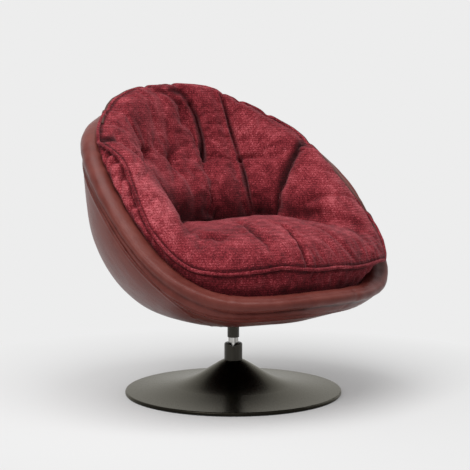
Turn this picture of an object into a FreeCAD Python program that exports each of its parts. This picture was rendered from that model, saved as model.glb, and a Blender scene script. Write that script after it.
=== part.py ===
import FreeCAD, Part
import math
import os

import Sketcher
from FreeCAD import Vector

# Swivel armchair: a leather bucket with a plush cushion set, turning on a column and a trumpet foot.
# Millimetres. +Z is up, the sitter faces -Y, and the origin is on the floor under the column's axis.

# Driving dimensions
# Each row is a name, a number and what it measures.
DIMENSIONS = [
    ("foot_radius", 300, "foot, outside"),
    ("foot_edge_height", 11, "top of the foot's rolled edge"),
    ("foot_edge_bend", 4, "radius of the rolled edge"),
    ("foot_lip_height", 3, "how far the turned edge stays above the floor"),
    ("foot_wall", 2.5, "sheet steel of the foot"),
    ("foot_plain_radius", 165, "where the flat plate starts to rise"),
    ("foot_plain_height", 27, "height of the foot there"),
    ("foot_cone_radius", 86, "where the cone starts"),
    ("foot_cone_height", 58.5, "height of the foot there"),
    ("foot_shoulder_radius", 43, "outside of the rounded shoulder"),
    ("foot_shoulder_height", 85, "height of the shoulder's outside"),
    ("foot_top_height", 93, "top of the foot at the sleeve"),
    ("foot_plate_sweep", 900, "radius of the nearly flat plate"),
    ("foot_flare_sweep", 242, "radius of the flare"),
    ("foot_shoulder_bend", 120, "radius of the shoulder"),
    ("floor_ring_width", 11, "rubber floor ring, across"),
    ("ballast_radius", 190, "ballast plate"),
    ("ballast_bottom", 7, "underside of the ballast plate"),
    ("ballast_thickness", 7, "ballast plate"),
    ("flange_radius", 62, "welded flange at the column's foot"),
    ("flange_thickness", 4, "flange"),
    ("flange_bolt_circle", 44, "radius to the flange bolts"),
    ("sleeve_radius", 25, "column sleeve, outside"),
    ("sleeve_wall", 3, "column sleeve"),
    ("sleeve_top", 141, "top of the column sleeve"),
    ("sleeve_edge_round", 5, "rounding of the sleeve's top edge"),
    ("dip_radius", 13, "round dip in the sleeve's top edge"),
    ("dip_depth", 8, "depth of the dip"),
    ("dip_turn", -38, "direction of the dips, in degrees from the front"),
    ("tube_wall", 3.5, "column tube"),
    ("tube_top", 128, "top of the column tube"),
    ("spindle_radius", 14, "chrome spindle"),
    ("spindle_groove_width", 1.4, "turned groove in the spindle"),
    ("spindle_groove_depth", 0.5, "turned groove in the spindle"),
    ("spindle_groove_height", 147, "height of the upper groove"),
    ("spindle_taper_bottom", 158, "where the spindle's taper starts"),
    ("spindle_taper_drop", 0.8, "how much thinner the taper's end is"),
    ("bush_length", 24, "upper and lower guide bush"),
    ("bush_collar_height", 3, "collar of the upper bush"),
    ("lower_bush_lift", 8, "lower bush above the thrust bearing"),
    ("race_bore_radius", 5.5, "thrust bearing, bore"),
    ("race_thickness", 2.6, "race of the thrust bearing"),
    ("ball_radius", 2.4, "bearing ball"),
    ("ball_circle", 11.6, "radius to the ball centres"),
    ("ball_count", 10, "bearing balls"),
    ("screw_radius", 4, "spindle screw, M8"),
    ("screw_grip", 26, "thread inside the spindle"),
    ("screw_head_radius", 6.5, "head of the spindle screw"),
    ("screw_head_height", 4, "head of the spindle screw"),
    ("hub_radius", 16.3, "seat hub, outside"),
    ("hub_bottom", 156, "lower end of the seat hub"),
    ("hub_edge_round", 1.6, "rounding of the hub's lower edge"),
    ("gusset_reach", 15, "gusset beyond the hub"),
    ("gusset_height", 11, "gusset"),
    ("gusset_thickness", 4, "gusset"),
    ("seat_plate_radius", 48, "steel plate under the bucket"),
    ("seat_plate_thickness", 4, "steel plate under the bucket"),
    ("seat_plate_bottom", 197, "underside of that plate"),
    ("seat_bolt_circle", 36, "radius to the seat bolts"),
    ("bolt_radius", 3, "shank of an M6 bolt"),
    ("bolt_head_radius", 5.2, "head of an M6 bolt"),
    ("bolt_head_height", 3.4, "head of an M6 bolt"),
    ("washer_radius", 7, "M6 washer"),
    ("washer_thickness", 1.4, "M6 washer"),
    ("nut_radius", 5.4, "M6 nut"),
    ("nut_height", 4.6, "M6 nut"),
    ("tee_flange_radius", 9, "flange of a tee nut"),
    ("tee_flange_thickness", 1.4, "flange of a tee nut"),
    ("board_radius", 58, "plywood board in the bucket's bottom"),
    ("board_thickness", 10, "plywood board"),
    ("bucket_half_width", 428, "bucket, outside, at its tangent"),
    ("bucket_front_reach", 370, "bucket centre to its front"),
    ("bucket_back_reach", 391, "bucket centre to its back"),
    ("bucket_centre", -17, "bucket centre along Y"),
    ("bucket_bottom", 196, "lowest point of the bucket's form"),
    ("rim_front", 326, "rim height at the front"),
    ("rim_front_corner", 324, "rim height 30 degrees round"),
    ("rim_wing_foot", 393, "rim height 60 degrees round"),
    ("rim_side", 570, "rim height at the sides"),
    ("rim_wing_head", 705, "rim height 120 degrees round"),
    ("rim_back_corner", 778, "rim height 150 degrees round"),
    ("rim_back", 812, "rim height at the back"),
    ("roll_half_width", 28, "padded rim roll, half its width"),
    ("roll_height", 20, "padded rim roll, crest over its foot"),
    ("seam_drop", 58, "seam of the leather below the rim's crest"),
    ("cover_thickness", 4, "leather with its backing foam"),
    ("shell_thickness", 10, "moulded bucket shell"),
    ("pad_thickness", 3, "padded lining at the bucket's bottom"),
    ("strip_thickness", 2.4, "fastening strips"),
    ("strip_length", 110, "fastening strips"),
    ("strip_width", 40, "fastening strips"),
    ("cushion_edge_inset", 40, "cushion's welt inside the bucket's outline"),
    ("edge_rise_front", 60, "cushion's welt above the rim at the front"),
    ("edge_rise_side", 24, "cushion's welt above the rim at the sides"),
    ("edge_rise_back", 26, "cushion's welt above the rim at the back"),
    ("crown_inset", 82, "crown of wings and back inside the outline"),
    ("crown_rise", 9, "crown above the welt"),
    ("seat_back_edge", 95, "rear edge of the seat cushion along Y"),
    ("seat_square_half_width", 140, "where that edge starts to slant forward"),
    ("seat_half_width", 262, "seat cushion, half its width"),
    ("seat_tip_length", 18, "seat cushion's side tip, along Y"),
    ("wing_setback", 16, "wing cushion's first section behind the seat's tip"),
    ("seat_crown_height", 502, "top of the seat cushion"),
    ("seat_rear_height", 474, "seat cushion at its rear edge"),
    ("seat_pleat_depth", 9, "sewn pleat in the seat"),
    ("seat_pleat_pitch", 118, "between sewn pleats in the seat"),
    ("tuft_height", 622, "height of the sewn tufts in the back"),
    ("tuft_pitch", 131, "between tufts"),
    ("tuft_depth", 26, "how deep a tuft pulls the back in"),
    ("back_face_reach", 222, "face of the back cushion at the tufts along Y"),
    ("toe_clearance", 5, "gap between the seat cushion and the back cushion's toe"),
    ("face_swell", 9, "swell of the back cushion between its tufts and its edges"),
    ("fit_gap", 0.3, "between pieces that touch"),
    ("running_gap", 0.05, "between a turning fit's faces"),
    ("cushion_gap", 0.6, "between soft pieces"),
    ("skin_gap", 0.8, "between leather and shell, and at the leather's seam"),
    ("overrun", 5, "how far a cut runs past what it cuts"),
]

# Plain shares, counts and angles
FLOOR_RING_DROP_SHARE = 1.4
FLARE_INSIDE_SHARE = 0.2
CONE_INSIDE_SHARE = 0.6
FULLNESS_FRONT_SHARE = 1.45
FULLNESS_BACK_SHARE = 2.8
FULLNESS_TURN_SHARE = 1.1
RING_STATIONS = 24
WALL_STEPS = 12
RIM_STATIONS = 6
PARTITION_ANGLE = 112
FLANGE_BOLT_COUNT = 4
SEAT_BOLT_COUNT = 4
GUSSET_COUNT = 4
FULL_TURN = 360

doc = FreeCAD.newDocument("swivel_armchair")
sheet = doc.addObject("Spreadsheet::Sheet", "sizes")
for row, (name, number, meaning) in enumerate(DIMENSIONS, start=1):
    sheet.set(f"A{row}", name)
    sheet.set(f"B{row}", str(number))
    sheet.set(f"C{row}", meaning)
    sheet.setAlias(f"B{row}", name)
doc.recompute()


class Size:
    """A length that carries both its number and the sheet formula that it comes from."""

    def __init__(self, value, formula):
        self.value = value
        self.formula = formula

    def join(self, other, sign, result):
        formula = other.formula if isinstance(other, Size) else str(other)
        return Size(result, f"({self.formula} {sign} {formula})")

    def __add__(self, other):
        return self.join(other, "+", self.value + number_of(other))

    def __sub__(self, other):
        return self.join(other, "-", self.value - number_of(other))

    def __mul__(self, other):
        return self.join(other, "*", self.value * number_of(other))

    def __truediv__(self, other):
        return self.join(other, "/", self.value / number_of(other))


def number_of(quantity):
    """The plain number of a Size, or the number itself."""
    return quantity.value if isinstance(quantity, Size) else quantity


def size(name):
    """The named cell of the sheet, as a Size."""
    return Size(float(sheet.get(name)), f"sizes.{name}")


def length(name):
    """The named cell of the sheet, as a plain number."""
    return float(sheet.get(name))


ZERO = Size(0.0, "0")


# Sketches and turned pieces


def origin_plane(body, role):
    """The body's own origin plane of that role."""
    for feature in body.Origin.OriginFeatures:
        if feature.Role == role:
            return feature
    raise ValueError(role)


def new_sketch(body, name, role):
    """An empty sketch on one of the body's own origin planes."""
    sketch = body.newObject("Sketcher::SketchObject", name)
    sketch.AttachmentSupport = (origin_plane(body, role), [""])
    sketch.MapMode = "FlatFace"
    return sketch


def arc_between(start, end, radius, turn):
    """An arc from start to end; turn is 1 where its centre lies left of the way, -1 where right."""
    middle = (start + end) * 0.5
    along = end - start
    half = along.Length / 2
    side = Vector(-along.y, along.x, 0).normalize() * turn
    centre = middle + side * math.sqrt(max(radius**2 - half**2, 0))
    first, last = (start, end) if turn > 0 else (end, start)
    begin = math.atan2(first.y - centre.y, first.x - centre.x)
    finish = math.atan2(last.y - centre.y, last.x - centre.x)
    circle = Part.Circle(centre, Vector(0, 0, 1), radius)
    return Part.ArcOfCircle(circle, begin, finish)


def pin_coordinate(sketch, kind, curve, end, place):
    """Hold one coordinate of a curve's end at a Size."""
    axis = -2 if kind == "DistanceX" else -1
    if place.value == 0:
        sketch.addConstraint(Sketcher.Constraint("PointOnObject", curve, end, axis))
        return
    index = sketch.addConstraint(Sketcher.Constraint(kind, -1, 1, curve, end, place.value))
    sketch.setExpression(f"Constraints[{index}]", place.formula)


def draw_outline(sketch, corners):
    """A closed outline. Each corner is (across, up), or (across, up, radius, turn) for an arc ahead."""
    points = [Vector(corner[0].value, corner[1].value, 0) for corner in corners]
    starts = []
    ends = []
    for index, corner in enumerate(corners):
        ahead = points[(index + 1) % len(points)]
        if len(corner) == 2:
            sketch.addGeometry(Part.LineSegment(points[index], ahead))
            starts.append(1)
            ends.append(2)
        else:
            sketch.addGeometry(arc_between(points[index], ahead, corner[2].value, corner[3]))
            starts.append(1 if corner[3] > 0 else 2)
            ends.append(2 if corner[3] > 0 else 1)
    for index, corner in enumerate(corners):
        behind = (index - 1) % len(corners)
        joint = Sketcher.Constraint("Coincident", behind, ends[behind], index, starts[index])
        sketch.addConstraint(joint)
        pin_coordinate(sketch, "DistanceX", index, starts[index], corner[0])
        pin_coordinate(sketch, "DistanceY", index, starts[index], corner[1])
        if len(corner) > 2:
            place = sketch.addConstraint(Sketcher.Constraint("Radius", index, corner[2].value))
            sketch.setExpression(f"Constraints[{place}]", corner[2].formula)


def draw_circle(sketch, across, up, radius):
    """A circle in a sketch, held by its centre and radius."""
    centre = Vector(across.value, up.value, 0)
    index = sketch.addGeometry(Part.Circle(centre, Vector(0, 0, 1), radius.value))
    pin_coordinate(sketch, "DistanceX", index, 3, across)
    pin_coordinate(sketch, "DistanceY", index, 3, up)
    place = sketch.addConstraint(Sketcher.Constraint("Radius", index, radius.value))
    sketch.setExpression(f"Constraints[{place}]", radius.formula)


def new_body(label):
    """An empty body that bears its sub-part's label."""
    body = doc.addObject("PartDesign::Body", label)
    body.Label = label
    return body


def turned(label, corners):
    """A body turned about +Z from a closed half outline."""
    body = new_body(label)
    sketch = new_sketch(body, f"{label}_outline", "XZ_Plane")
    draw_outline(sketch, corners)
    turn = body.newObject("PartDesign::Revolution", f"{label}_turned")
    turn.Profile = sketch
    turn.ReferenceAxis = (sketch, ["V_Axis"])
    turn.Angle = FULL_TURN
    body.Tip = turn
    doc.recompute()
    return body


def ring(label, inner, outer, bottom, top):
    """A plain turned ring between two radii and two heights."""
    return turned(label, [(inner, bottom), (outer, bottom), (outer, top), (inner, top)])


def bore_pattern(body, label, radius, circle, count, start=0.0):
    """Holes right through the body, spaced evenly on a circle from a start in radians."""
    before = body.Shape.Volume
    sketch = new_sketch(body, f"{label}_hole", "XY_Plane")
    draw_circle(sketch, circle * math.cos(start), circle * math.sin(start), radius)
    hole = body.newObject("PartDesign::Pocket", f"{label}_bore")
    hole.Profile = sketch
    hole.Type = "ThroughAll"
    hole.Reversed = True
    body.Tip = hole
    doc.recompute()
    pattern = body.newObject("PartDesign::PolarPattern", f"{label}_bores")
    pattern.Originals = [hole]
    pattern.Axis = (sketch, ["N_Axis"])
    pattern.Angle = FULL_TURN
    pattern.Occurrences = count
    body.Tip = pattern
    doc.recompute()
    if body.Shape.Volume >= before:
        raise ValueError(f"{label}: the holes cut nothing")


# Fasteners in groups


def placed_cylinder(name, radius, height, across, along, bottom):
    """A cylinder whose radius, height and place follow the sheet."""
    cylinder = doc.addObject("Part::Cylinder", name)
    cylinder.setExpression("Radius", radius.formula)
    cylinder.setExpression("Height", height.formula)
    cylinder.setExpression("Placement.Base.x", across.formula)
    cylinder.setExpression("Placement.Base.y", along.formula)
    cylinder.setExpression("Placement.Base.z", bottom.formula)
    return cylinder


def placed_hexagon(name, radius, height, across, along, bottom):
    """A hexagonal prism whose size and place follow the sheet."""
    prism = doc.addObject("Part::Prism", name)
    prism.Polygon = 6
    prism.setExpression("Circumradius", radius.formula)
    prism.setExpression("Height", height.formula)
    prism.setExpression("Placement.Base.x", across.formula)
    prism.setExpression("Placement.Base.y", along.formula)
    prism.setExpression("Placement.Base.z", bottom.formula)
    return prism


def round_places(circle, count, start=0.0):
    """The places of evenly spaced fasteners on a circle from a start in radians, as pairs of Sizes."""
    angles = [start + 2 * math.pi * index / count for index in range(count)]
    return [(circle * math.cos(angle), circle * math.sin(angle)) for angle in angles]


def fused(name, pieces):
    """One solid made of overlapping pieces."""
    fusion = doc.addObject("Part::MultiFuse", name)
    fusion.Shapes = pieces
    return fusion


def bored(name, piece, tool):
    """A piece with a tool cut out of it."""
    cut = doc.addObject("Part::Cut", name)
    cut.Base = piece
    cut.Tool = tool
    return cut


def group(label, pieces):
    """Separate solids that share one node."""
    compound = doc.addObject("Part::Compound", label)
    compound.Label = label
    compound.Links = pieces
    return compound


def bolt_group(label, places, shank_bottom, shank_top, head_below):
    """M6 hexagon bolts; each head is under its shank or on top of it."""
    bolts = []
    head_height = size("bolt_head_height")
    head_bottom = shank_bottom - head_height if head_below else shank_top
    for index, (across, along) in enumerate(places):
        name = f"{label}_{index}"
        shank = placed_cylinder(f"{name}_shank", size("bolt_radius"), shank_top - shank_bottom,
                                across, along, shank_bottom)
        head = placed_hexagon(f"{name}_head", size("bolt_head_radius"), head_height,
                              across, along, head_bottom)
        bolts.append(fused(f"{name}_bolt", [shank, head]))
    return group(label, bolts)


def holed_group(label, places, outer, height, bottom, hexagonal):
    """Washers or nuts with a bore that clears the bolt's shank."""
    rings = []
    overrun = size("overrun")
    bore = size("bolt_radius") + size("fit_gap")
    for index, (across, along) in enumerate(places):
        name = f"{label}_{index}"
        shape = placed_hexagon if hexagonal else placed_cylinder
        blank = shape(f"{name}_blank", outer, height, across, along, bottom)
        tool = placed_cylinder(f"{name}_tool", bore, height + overrun * 2, across, along, bottom - overrun)
        rings.append(bored(f"{name}_ring", blank, tool))
    return group(label, rings)


# The foot


def build_foot_disc():
    """A spun sheet-steel trumpet with a rolled edge."""
    wall = size("foot_wall")
    edge = size("foot_radius")
    bend = size("foot_edge_bend")
    sweep = size("foot_plate_sweep")
    flare = size("foot_flare_sweep")
    shoulder = size("foot_shoulder_bend")
    bore = size("sleeve_radius") + size("fit_gap")
    top = size("foot_top_height")
    outside = [
        (bore + wall, top, shoulder, -1),
        (size("foot_shoulder_radius"), size("foot_shoulder_height")),
        (size("foot_cone_radius"), size("foot_cone_height"), flare, 1),
        (size("foot_plain_radius"), size("foot_plain_height"), sweep, 1),
        (edge - bend, size("foot_edge_height"), bend, -1),
        (edge, size("foot_edge_height") - bend),
        (edge, size("foot_lip_height")),
    ]
    inside = [
        (edge - wall, size("foot_lip_height")),
        (edge - wall, size("foot_edge_height") - bend),
        (edge - bend, size("foot_edge_height") - wall, sweep, -1),
        (size("foot_plain_radius") - wall * FLARE_INSIDE_SHARE, size("foot_plain_height") - wall, flare, -1),
        (size("foot_cone_radius") - wall * CONE_INSIDE_SHARE, size("foot_cone_height") - wall),
        (size("foot_shoulder_radius") - wall * CONE_INSIDE_SHARE, size("foot_shoulder_height") - wall),
        (bore, top - wall),
        (bore, top),
    ]
    return turned("foot_disc", outside + inside)


class Column:
    """Heights and radii that the foot, the column and the spindle share."""

    def __init__(self):
        self.flange_bottom = size("ballast_bottom") + size("ballast_thickness")
        self.flange_top = self.flange_bottom + size("flange_thickness")
        self.tube_outer = size("sleeve_radius") - size("sleeve_wall") - size("fit_gap")
        self.tube_inner = self.tube_outer - size("tube_wall")
        self.race_top = self.flange_top + size("race_thickness")
        self.ball_centre = self.race_top + size("ball_radius")
        self.upper_race_bottom = self.ball_centre + size("ball_radius")
        self.bearing_top = self.upper_race_bottom + size("race_thickness")
        self.collar_bottom = size("tube_top") + size("fit_gap")
        self.collar_top = self.collar_bottom + size("bush_collar_height")


def build_foot():
    """All pieces of the foot and the column, from the floor up."""
    column = Column()
    gap = size("fit_gap")
    edge_inside = size("foot_radius") - size("foot_wall") - gap
    tube_inner = column.tube_inner
    flange_top = column.flange_top
    bush_bore = size("spindle_radius") + size("running_gap")

    pieces = [build_foot_disc()]
    ring_top = size("foot_edge_height") - size("foot_wall") * FLOOR_RING_DROP_SHARE
    ring_inner = edge_inside - size("floor_ring_width")
    pieces.append(turned("floor_ring", [
        (ring_inner, ZERO), (edge_inside, ZERO),
        (edge_inside, size("foot_lip_height") + gap), (ring_inner, ring_top),
    ]))
    spindle_clearance = size("screw_head_radius") + size("overrun")
    plate = ring("ballast_plate", spindle_clearance, size("ballast_radius"),
                 size("ballast_bottom"), column.flange_bottom)
    bore_pattern(plate, "ballast", size("bolt_radius") + gap, size("flange_bolt_circle"), FLANGE_BOLT_COUNT)
    pieces.append(plate)
    flange = ring("column_flange", size("screw_radius") + gap * 2, size("flange_radius"),
                  column.flange_bottom, flange_top)
    bore_pattern(flange, "flange", size("bolt_radius") + gap, size("flange_bolt_circle"), FLANGE_BOLT_COUNT)
    pieces.append(flange)
    pieces.append(ring("column_tube", tube_inner, column.tube_outer, flange_top, size("tube_top")))
    places = round_places(size("flange_bolt_circle"), FLANGE_BOLT_COUNT)
    nut_bottom = flange_top + size("washer_thickness")
    pieces.append(bolt_group("flange_bolts", places, size("ballast_bottom"),
                             nut_bottom + size("nut_height"), True))
    pieces.append(holed_group("flange_washers", places, size("washer_radius"),
                              size("washer_thickness"), flange_top, False))
    pieces.append(holed_group("flange_nuts", places, size("nut_radius"), size("nut_height"),
                              nut_bottom, True))
    pieces.append(build_sleeve(column))
    lower_bottom = column.bearing_top + size("lower_bush_lift")
    pieces.append(ring("lower_bush", bush_bore, tube_inner - gap, lower_bottom,
                       lower_bottom + size("bush_length")))
    shank_bottom = column.collar_bottom - size("bush_length")
    pieces.append(turned("upper_bush", [
        (bush_bore, shank_bottom), (tube_inner - gap, shank_bottom),
        (tube_inner - gap, column.collar_bottom), (column.tube_outer, column.collar_bottom),
        (column.tube_outer, column.collar_top), (bush_bore, column.collar_top),
    ]))
    race_radius = tube_inner - gap
    pieces.append(ring("lower_race", size("race_bore_radius"), race_radius, flange_top, column.race_top))
    pieces.append(ring("upper_race", size("race_bore_radius"), race_radius,
                       column.upper_race_bottom, column.bearing_top))
    pieces.append(build_balls(column.ball_centre))
    return pieces


def build_sleeve(column):
    """The dark sleeve over the column tube, with a round dip front and back in its closed-in top."""
    outer = size("sleeve_radius")
    inner = outer - size("sleeve_wall")
    edge = size("sleeve_edge_round")
    top = size("sleeve_top")
    bottom = size("foot_top_height") - size("overrun")
    cap_bore = size("spindle_radius") + size("fit_gap") * 2
    cap_bottom = column.collar_top + size("fit_gap")
    sleeve = turned("column_sleeve", [
        (inner, bottom), (outer, bottom),
        (outer, top - edge, edge, 1), (outer - edge, top),
        (cap_bore, top), (cap_bore, cap_bottom), (inner, cap_bottom),
    ])
    before = sleeve.Shape.Volume
    sketch = new_sketch(sleeve, "sleeve_dips", "XZ_Plane")
    draw_circle(sketch, ZERO, top - size("dip_depth") + size("dip_radius"), size("dip_radius"))
    dips = sleeve.newObject("PartDesign::Pocket", "sleeve_dipped")
    dips.Profile = sketch
    dips.Type = "ThroughAll"
    dips.Midplane = True
    sleeve.Tip = dips
    doc.recompute()
    if sleeve.Shape.Volume >= before:
        raise ValueError("column_sleeve: the dips cut nothing")
    sleeve.setExpression("Placement.Rotation.Angle", "sizes.dip_turn")
    return sleeve


def build_balls(centre_height):
    """Balls of the thrust bearing, each a separate solid."""
    balls = []
    for index, (across, along) in enumerate(round_places(size("ball_circle"), int(length("ball_count")))):
        ball = doc.addObject("Part::Sphere", f"ball_{index}")
        ball.setExpression("Radius", size("ball_radius").formula)
        ball.setExpression("Placement.Base.x", across.formula)
        ball.setExpression("Placement.Base.y", along.formula)
        ball.setExpression("Placement.Base.z", centre_height.formula)
        balls.append(ball)
    return group("bearing_balls", balls)


# The spindle, the hub and what bolts them to the bucket


def build_spindle(column):
    """The chrome spindle: turned grooves where it shows and a slim taper inside the hub."""
    radius = size("spindle_radius")
    width = size("spindle_groove_width")
    depth = size("spindle_groove_depth")
    upper = size("spindle_groove_height")
    lower = upper - width * 2
    bottom = column.bearing_top + size("running_gap")
    thread = size("screw_radius") + size("running_gap")
    thread_top = bottom + size("screw_grip") + size("fit_gap")
    top = size("seat_plate_bottom") - size("fit_gap")
    corners = [(thread, bottom), (radius, bottom)]
    for groove in (lower, upper):
        corners += [(radius, groove - width), (radius - depth, groove - width),
                    (radius - depth, groove), (radius, groove)]
    corners += [(radius, size("spindle_taper_bottom")), (radius - size("spindle_taper_drop"), top),
                (ZERO, top), (ZERO, thread_top), (thread, thread_top)]
    return turned("spindle", corners)


def build_hub():
    """The dark sleeve over the spindle's taper, with welded gussets under the seat plate."""
    outer = size("hub_radius")
    inner = size("spindle_radius") + size("fit_gap")
    edge = size("hub_edge_round")
    bottom = size("hub_bottom")
    top = size("seat_plate_bottom")
    taper = size("spindle_taper_bottom")
    hub = turned("seat_hub", [
        (inner, bottom), (outer - edge, bottom, edge, 1), (outer, bottom + edge), (outer, top),
        (inner - size("spindle_taper_drop"), top), (inner, taper),
    ])
    before = hub.Shape.Volume
    sketch = new_sketch(hub, "gusset_outline", "XZ_Plane")
    inside = outer - size("fit_gap") * 2
    draw_outline(sketch, [
        (inside, top), (inside, top - size("gusset_height")),
        (outer, top - size("gusset_height")), (outer + size("gusset_reach"), top),
    ])
    gusset = hub.newObject("PartDesign::Pad", "gusset")
    gusset.Profile = sketch
    gusset.Midplane = True
    gusset.setExpression("Length", size("gusset_thickness").formula)
    hub.Tip = gusset
    doc.recompute()
    pattern = hub.newObject("PartDesign::PolarPattern", "gussets")
    pattern.Originals = [gusset]
    pattern.Axis = (sketch, ["V_Axis"])
    pattern.Angle = FULL_TURN
    pattern.Occurrences = GUSSET_COUNT
    hub.Tip = pattern
    doc.recompute()
    if hub.Shape.Volume <= before:
        raise ValueError("seat_hub: the gussets add nothing")
    return hub


def build_tee_nuts(places, board_bottom, board_top):
    """Tee nuts: a barrel inside the board and a flange on top of it, bored for the bolt."""
    nuts = []
    overrun = size("overrun")
    barrel = size("bolt_radius") + size("washer_thickness")
    for index, (across, along) in enumerate(places):
        name = f"tee_nut_{index}"
        body = placed_cylinder(f"{name}_barrel", barrel, board_top - board_bottom, across, along, board_bottom)
        flange = placed_cylinder(f"{name}_flange", size("tee_flange_radius"), size("tee_flange_thickness"),
                                 across, along, board_top)
        bore = placed_cylinder(f"{name}_bore", size("bolt_radius") + size("fit_gap"),
                               board_top - board_bottom + overrun * 2, across, along,
                               board_bottom - overrun)
        nuts.append(bored(f"{name}_ring", fused(f"{name}_blank", [body, flange]), bore))
    return group("tee_nuts", nuts)


def build_seat_mounting():
    """The spindle with its screw, the hub, and the plate and board that clamp the bucket's bottom."""
    column = Column()
    gap = size("fit_gap")
    plate_bottom = size("seat_plate_bottom")
    plate_top = plate_bottom + size("seat_plate_thickness")
    board_top = plate_top + size("board_thickness")
    screw_washer_top = column.flange_bottom - gap
    screw_washer_bottom = screw_washer_top - size("washer_thickness")
    screw_top = column.bearing_top + size("running_gap") + size("screw_grip")

    pieces = [build_spindle(column), build_hub()]
    head = size("screw_head_radius")
    pieces.append(turned("spindle_screw", [
        (ZERO, screw_washer_bottom - size("screw_head_height")),
        (head, screw_washer_bottom - size("screw_head_height")),
        (head, screw_washer_bottom), (size("screw_radius"), screw_washer_bottom),
        (size("screw_radius"), screw_top), (ZERO, screw_top),
    ]))
    pieces.append(ring("screw_washer", size("screw_radius") + gap, head + size("washer_thickness"),
                       screw_washer_bottom, screw_washer_top))
    plate = ring("seat_plate", size("bolt_radius"), size("seat_plate_radius"), plate_bottom, plate_top)
    start = math.pi / SEAT_BOLT_COUNT
    bore_pattern(plate, "seat_plate", size("bolt_radius") + gap, size("seat_bolt_circle"),
                 SEAT_BOLT_COUNT, start)
    pieces.append(plate)
    places = round_places(size("seat_bolt_circle"), SEAT_BOLT_COUNT, start)
    washer_bottom = plate_bottom - size("washer_thickness")
    pieces.append(holed_group("seat_washers", places, size("washer_radius"),
                              size("washer_thickness"), washer_bottom, False))
    pieces.append(bolt_group("seat_bolts", places, washer_bottom,
                             board_top + size("tee_flange_thickness"), True))
    board = ring("base_board", size("bolt_radius"), size("board_radius"), plate_top, board_top)
    barrel_bore = size("bolt_radius") + size("washer_thickness") + gap
    bore_pattern(board, "base_board", barrel_bore, size("seat_bolt_circle"), SEAT_BOLT_COUNT, start)
    pieces.append(board)
    pieces.append(build_tee_nuts(places, plate_top, board_top))
    return pieces


# The bucket's form


def cosine_fit(heights):
    """Factors of the cosine series through heights at even steps from the front to the back."""
    count = len(heights) - 1
    factors = []
    for order in range(count + 1):
        total = 0
        for index, height in enumerate(heights):
            weight = 0.5 if index in (0, count) else 1.0
            total += weight * height * math.cos(math.pi * order * index / count)
        edge = 0.5 if order in (0, count) else 1.0
        factors.append(2 * edge * total / count)
    return factors


def cosine_height(factors, turn):
    """The height of a cosine series at a turn from the front, in radians."""
    return sum(factor * math.cos(order * turn) for order, factor in enumerate(factors))


RIM_FACTORS = cosine_fit([length(name) for name in (
    "rim_front", "rim_front_corner", "rim_wing_foot", "rim_side",
    "rim_wing_head", "rim_back_corner", "rim_back")])
RISE_FACTORS = cosine_fit([length(name) for name in (
    "edge_rise_front", "edge_rise_side", "edge_rise_back")])


def reach(angle, inset):
    """How far the bucket's outline, moved in by the inset, lies from the axis; and its own turn."""
    across = math.sin(angle)
    along = -math.cos(angle)
    centre = length("bucket_centre")
    half_width = length("bucket_half_width") - inset
    for name, sign in (("bucket_front_reach", 1), ("bucket_back_reach", -1)):
        depth = length(name) - inset
        square = (across / half_width) ** 2 + (along / depth) ** 2
        linear = -2 * along * centre / depth**2
        rest = (centre / depth) ** 2 - 1
        distance = (-linear + math.sqrt(linear**2 - 4 * square * rest)) / (2 * square)
        if sign * (centre - distance * along) >= 0:
            break
    turn = math.atan2(distance * across / half_width, (centre - distance * along) / depth)
    return distance, turn


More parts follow.
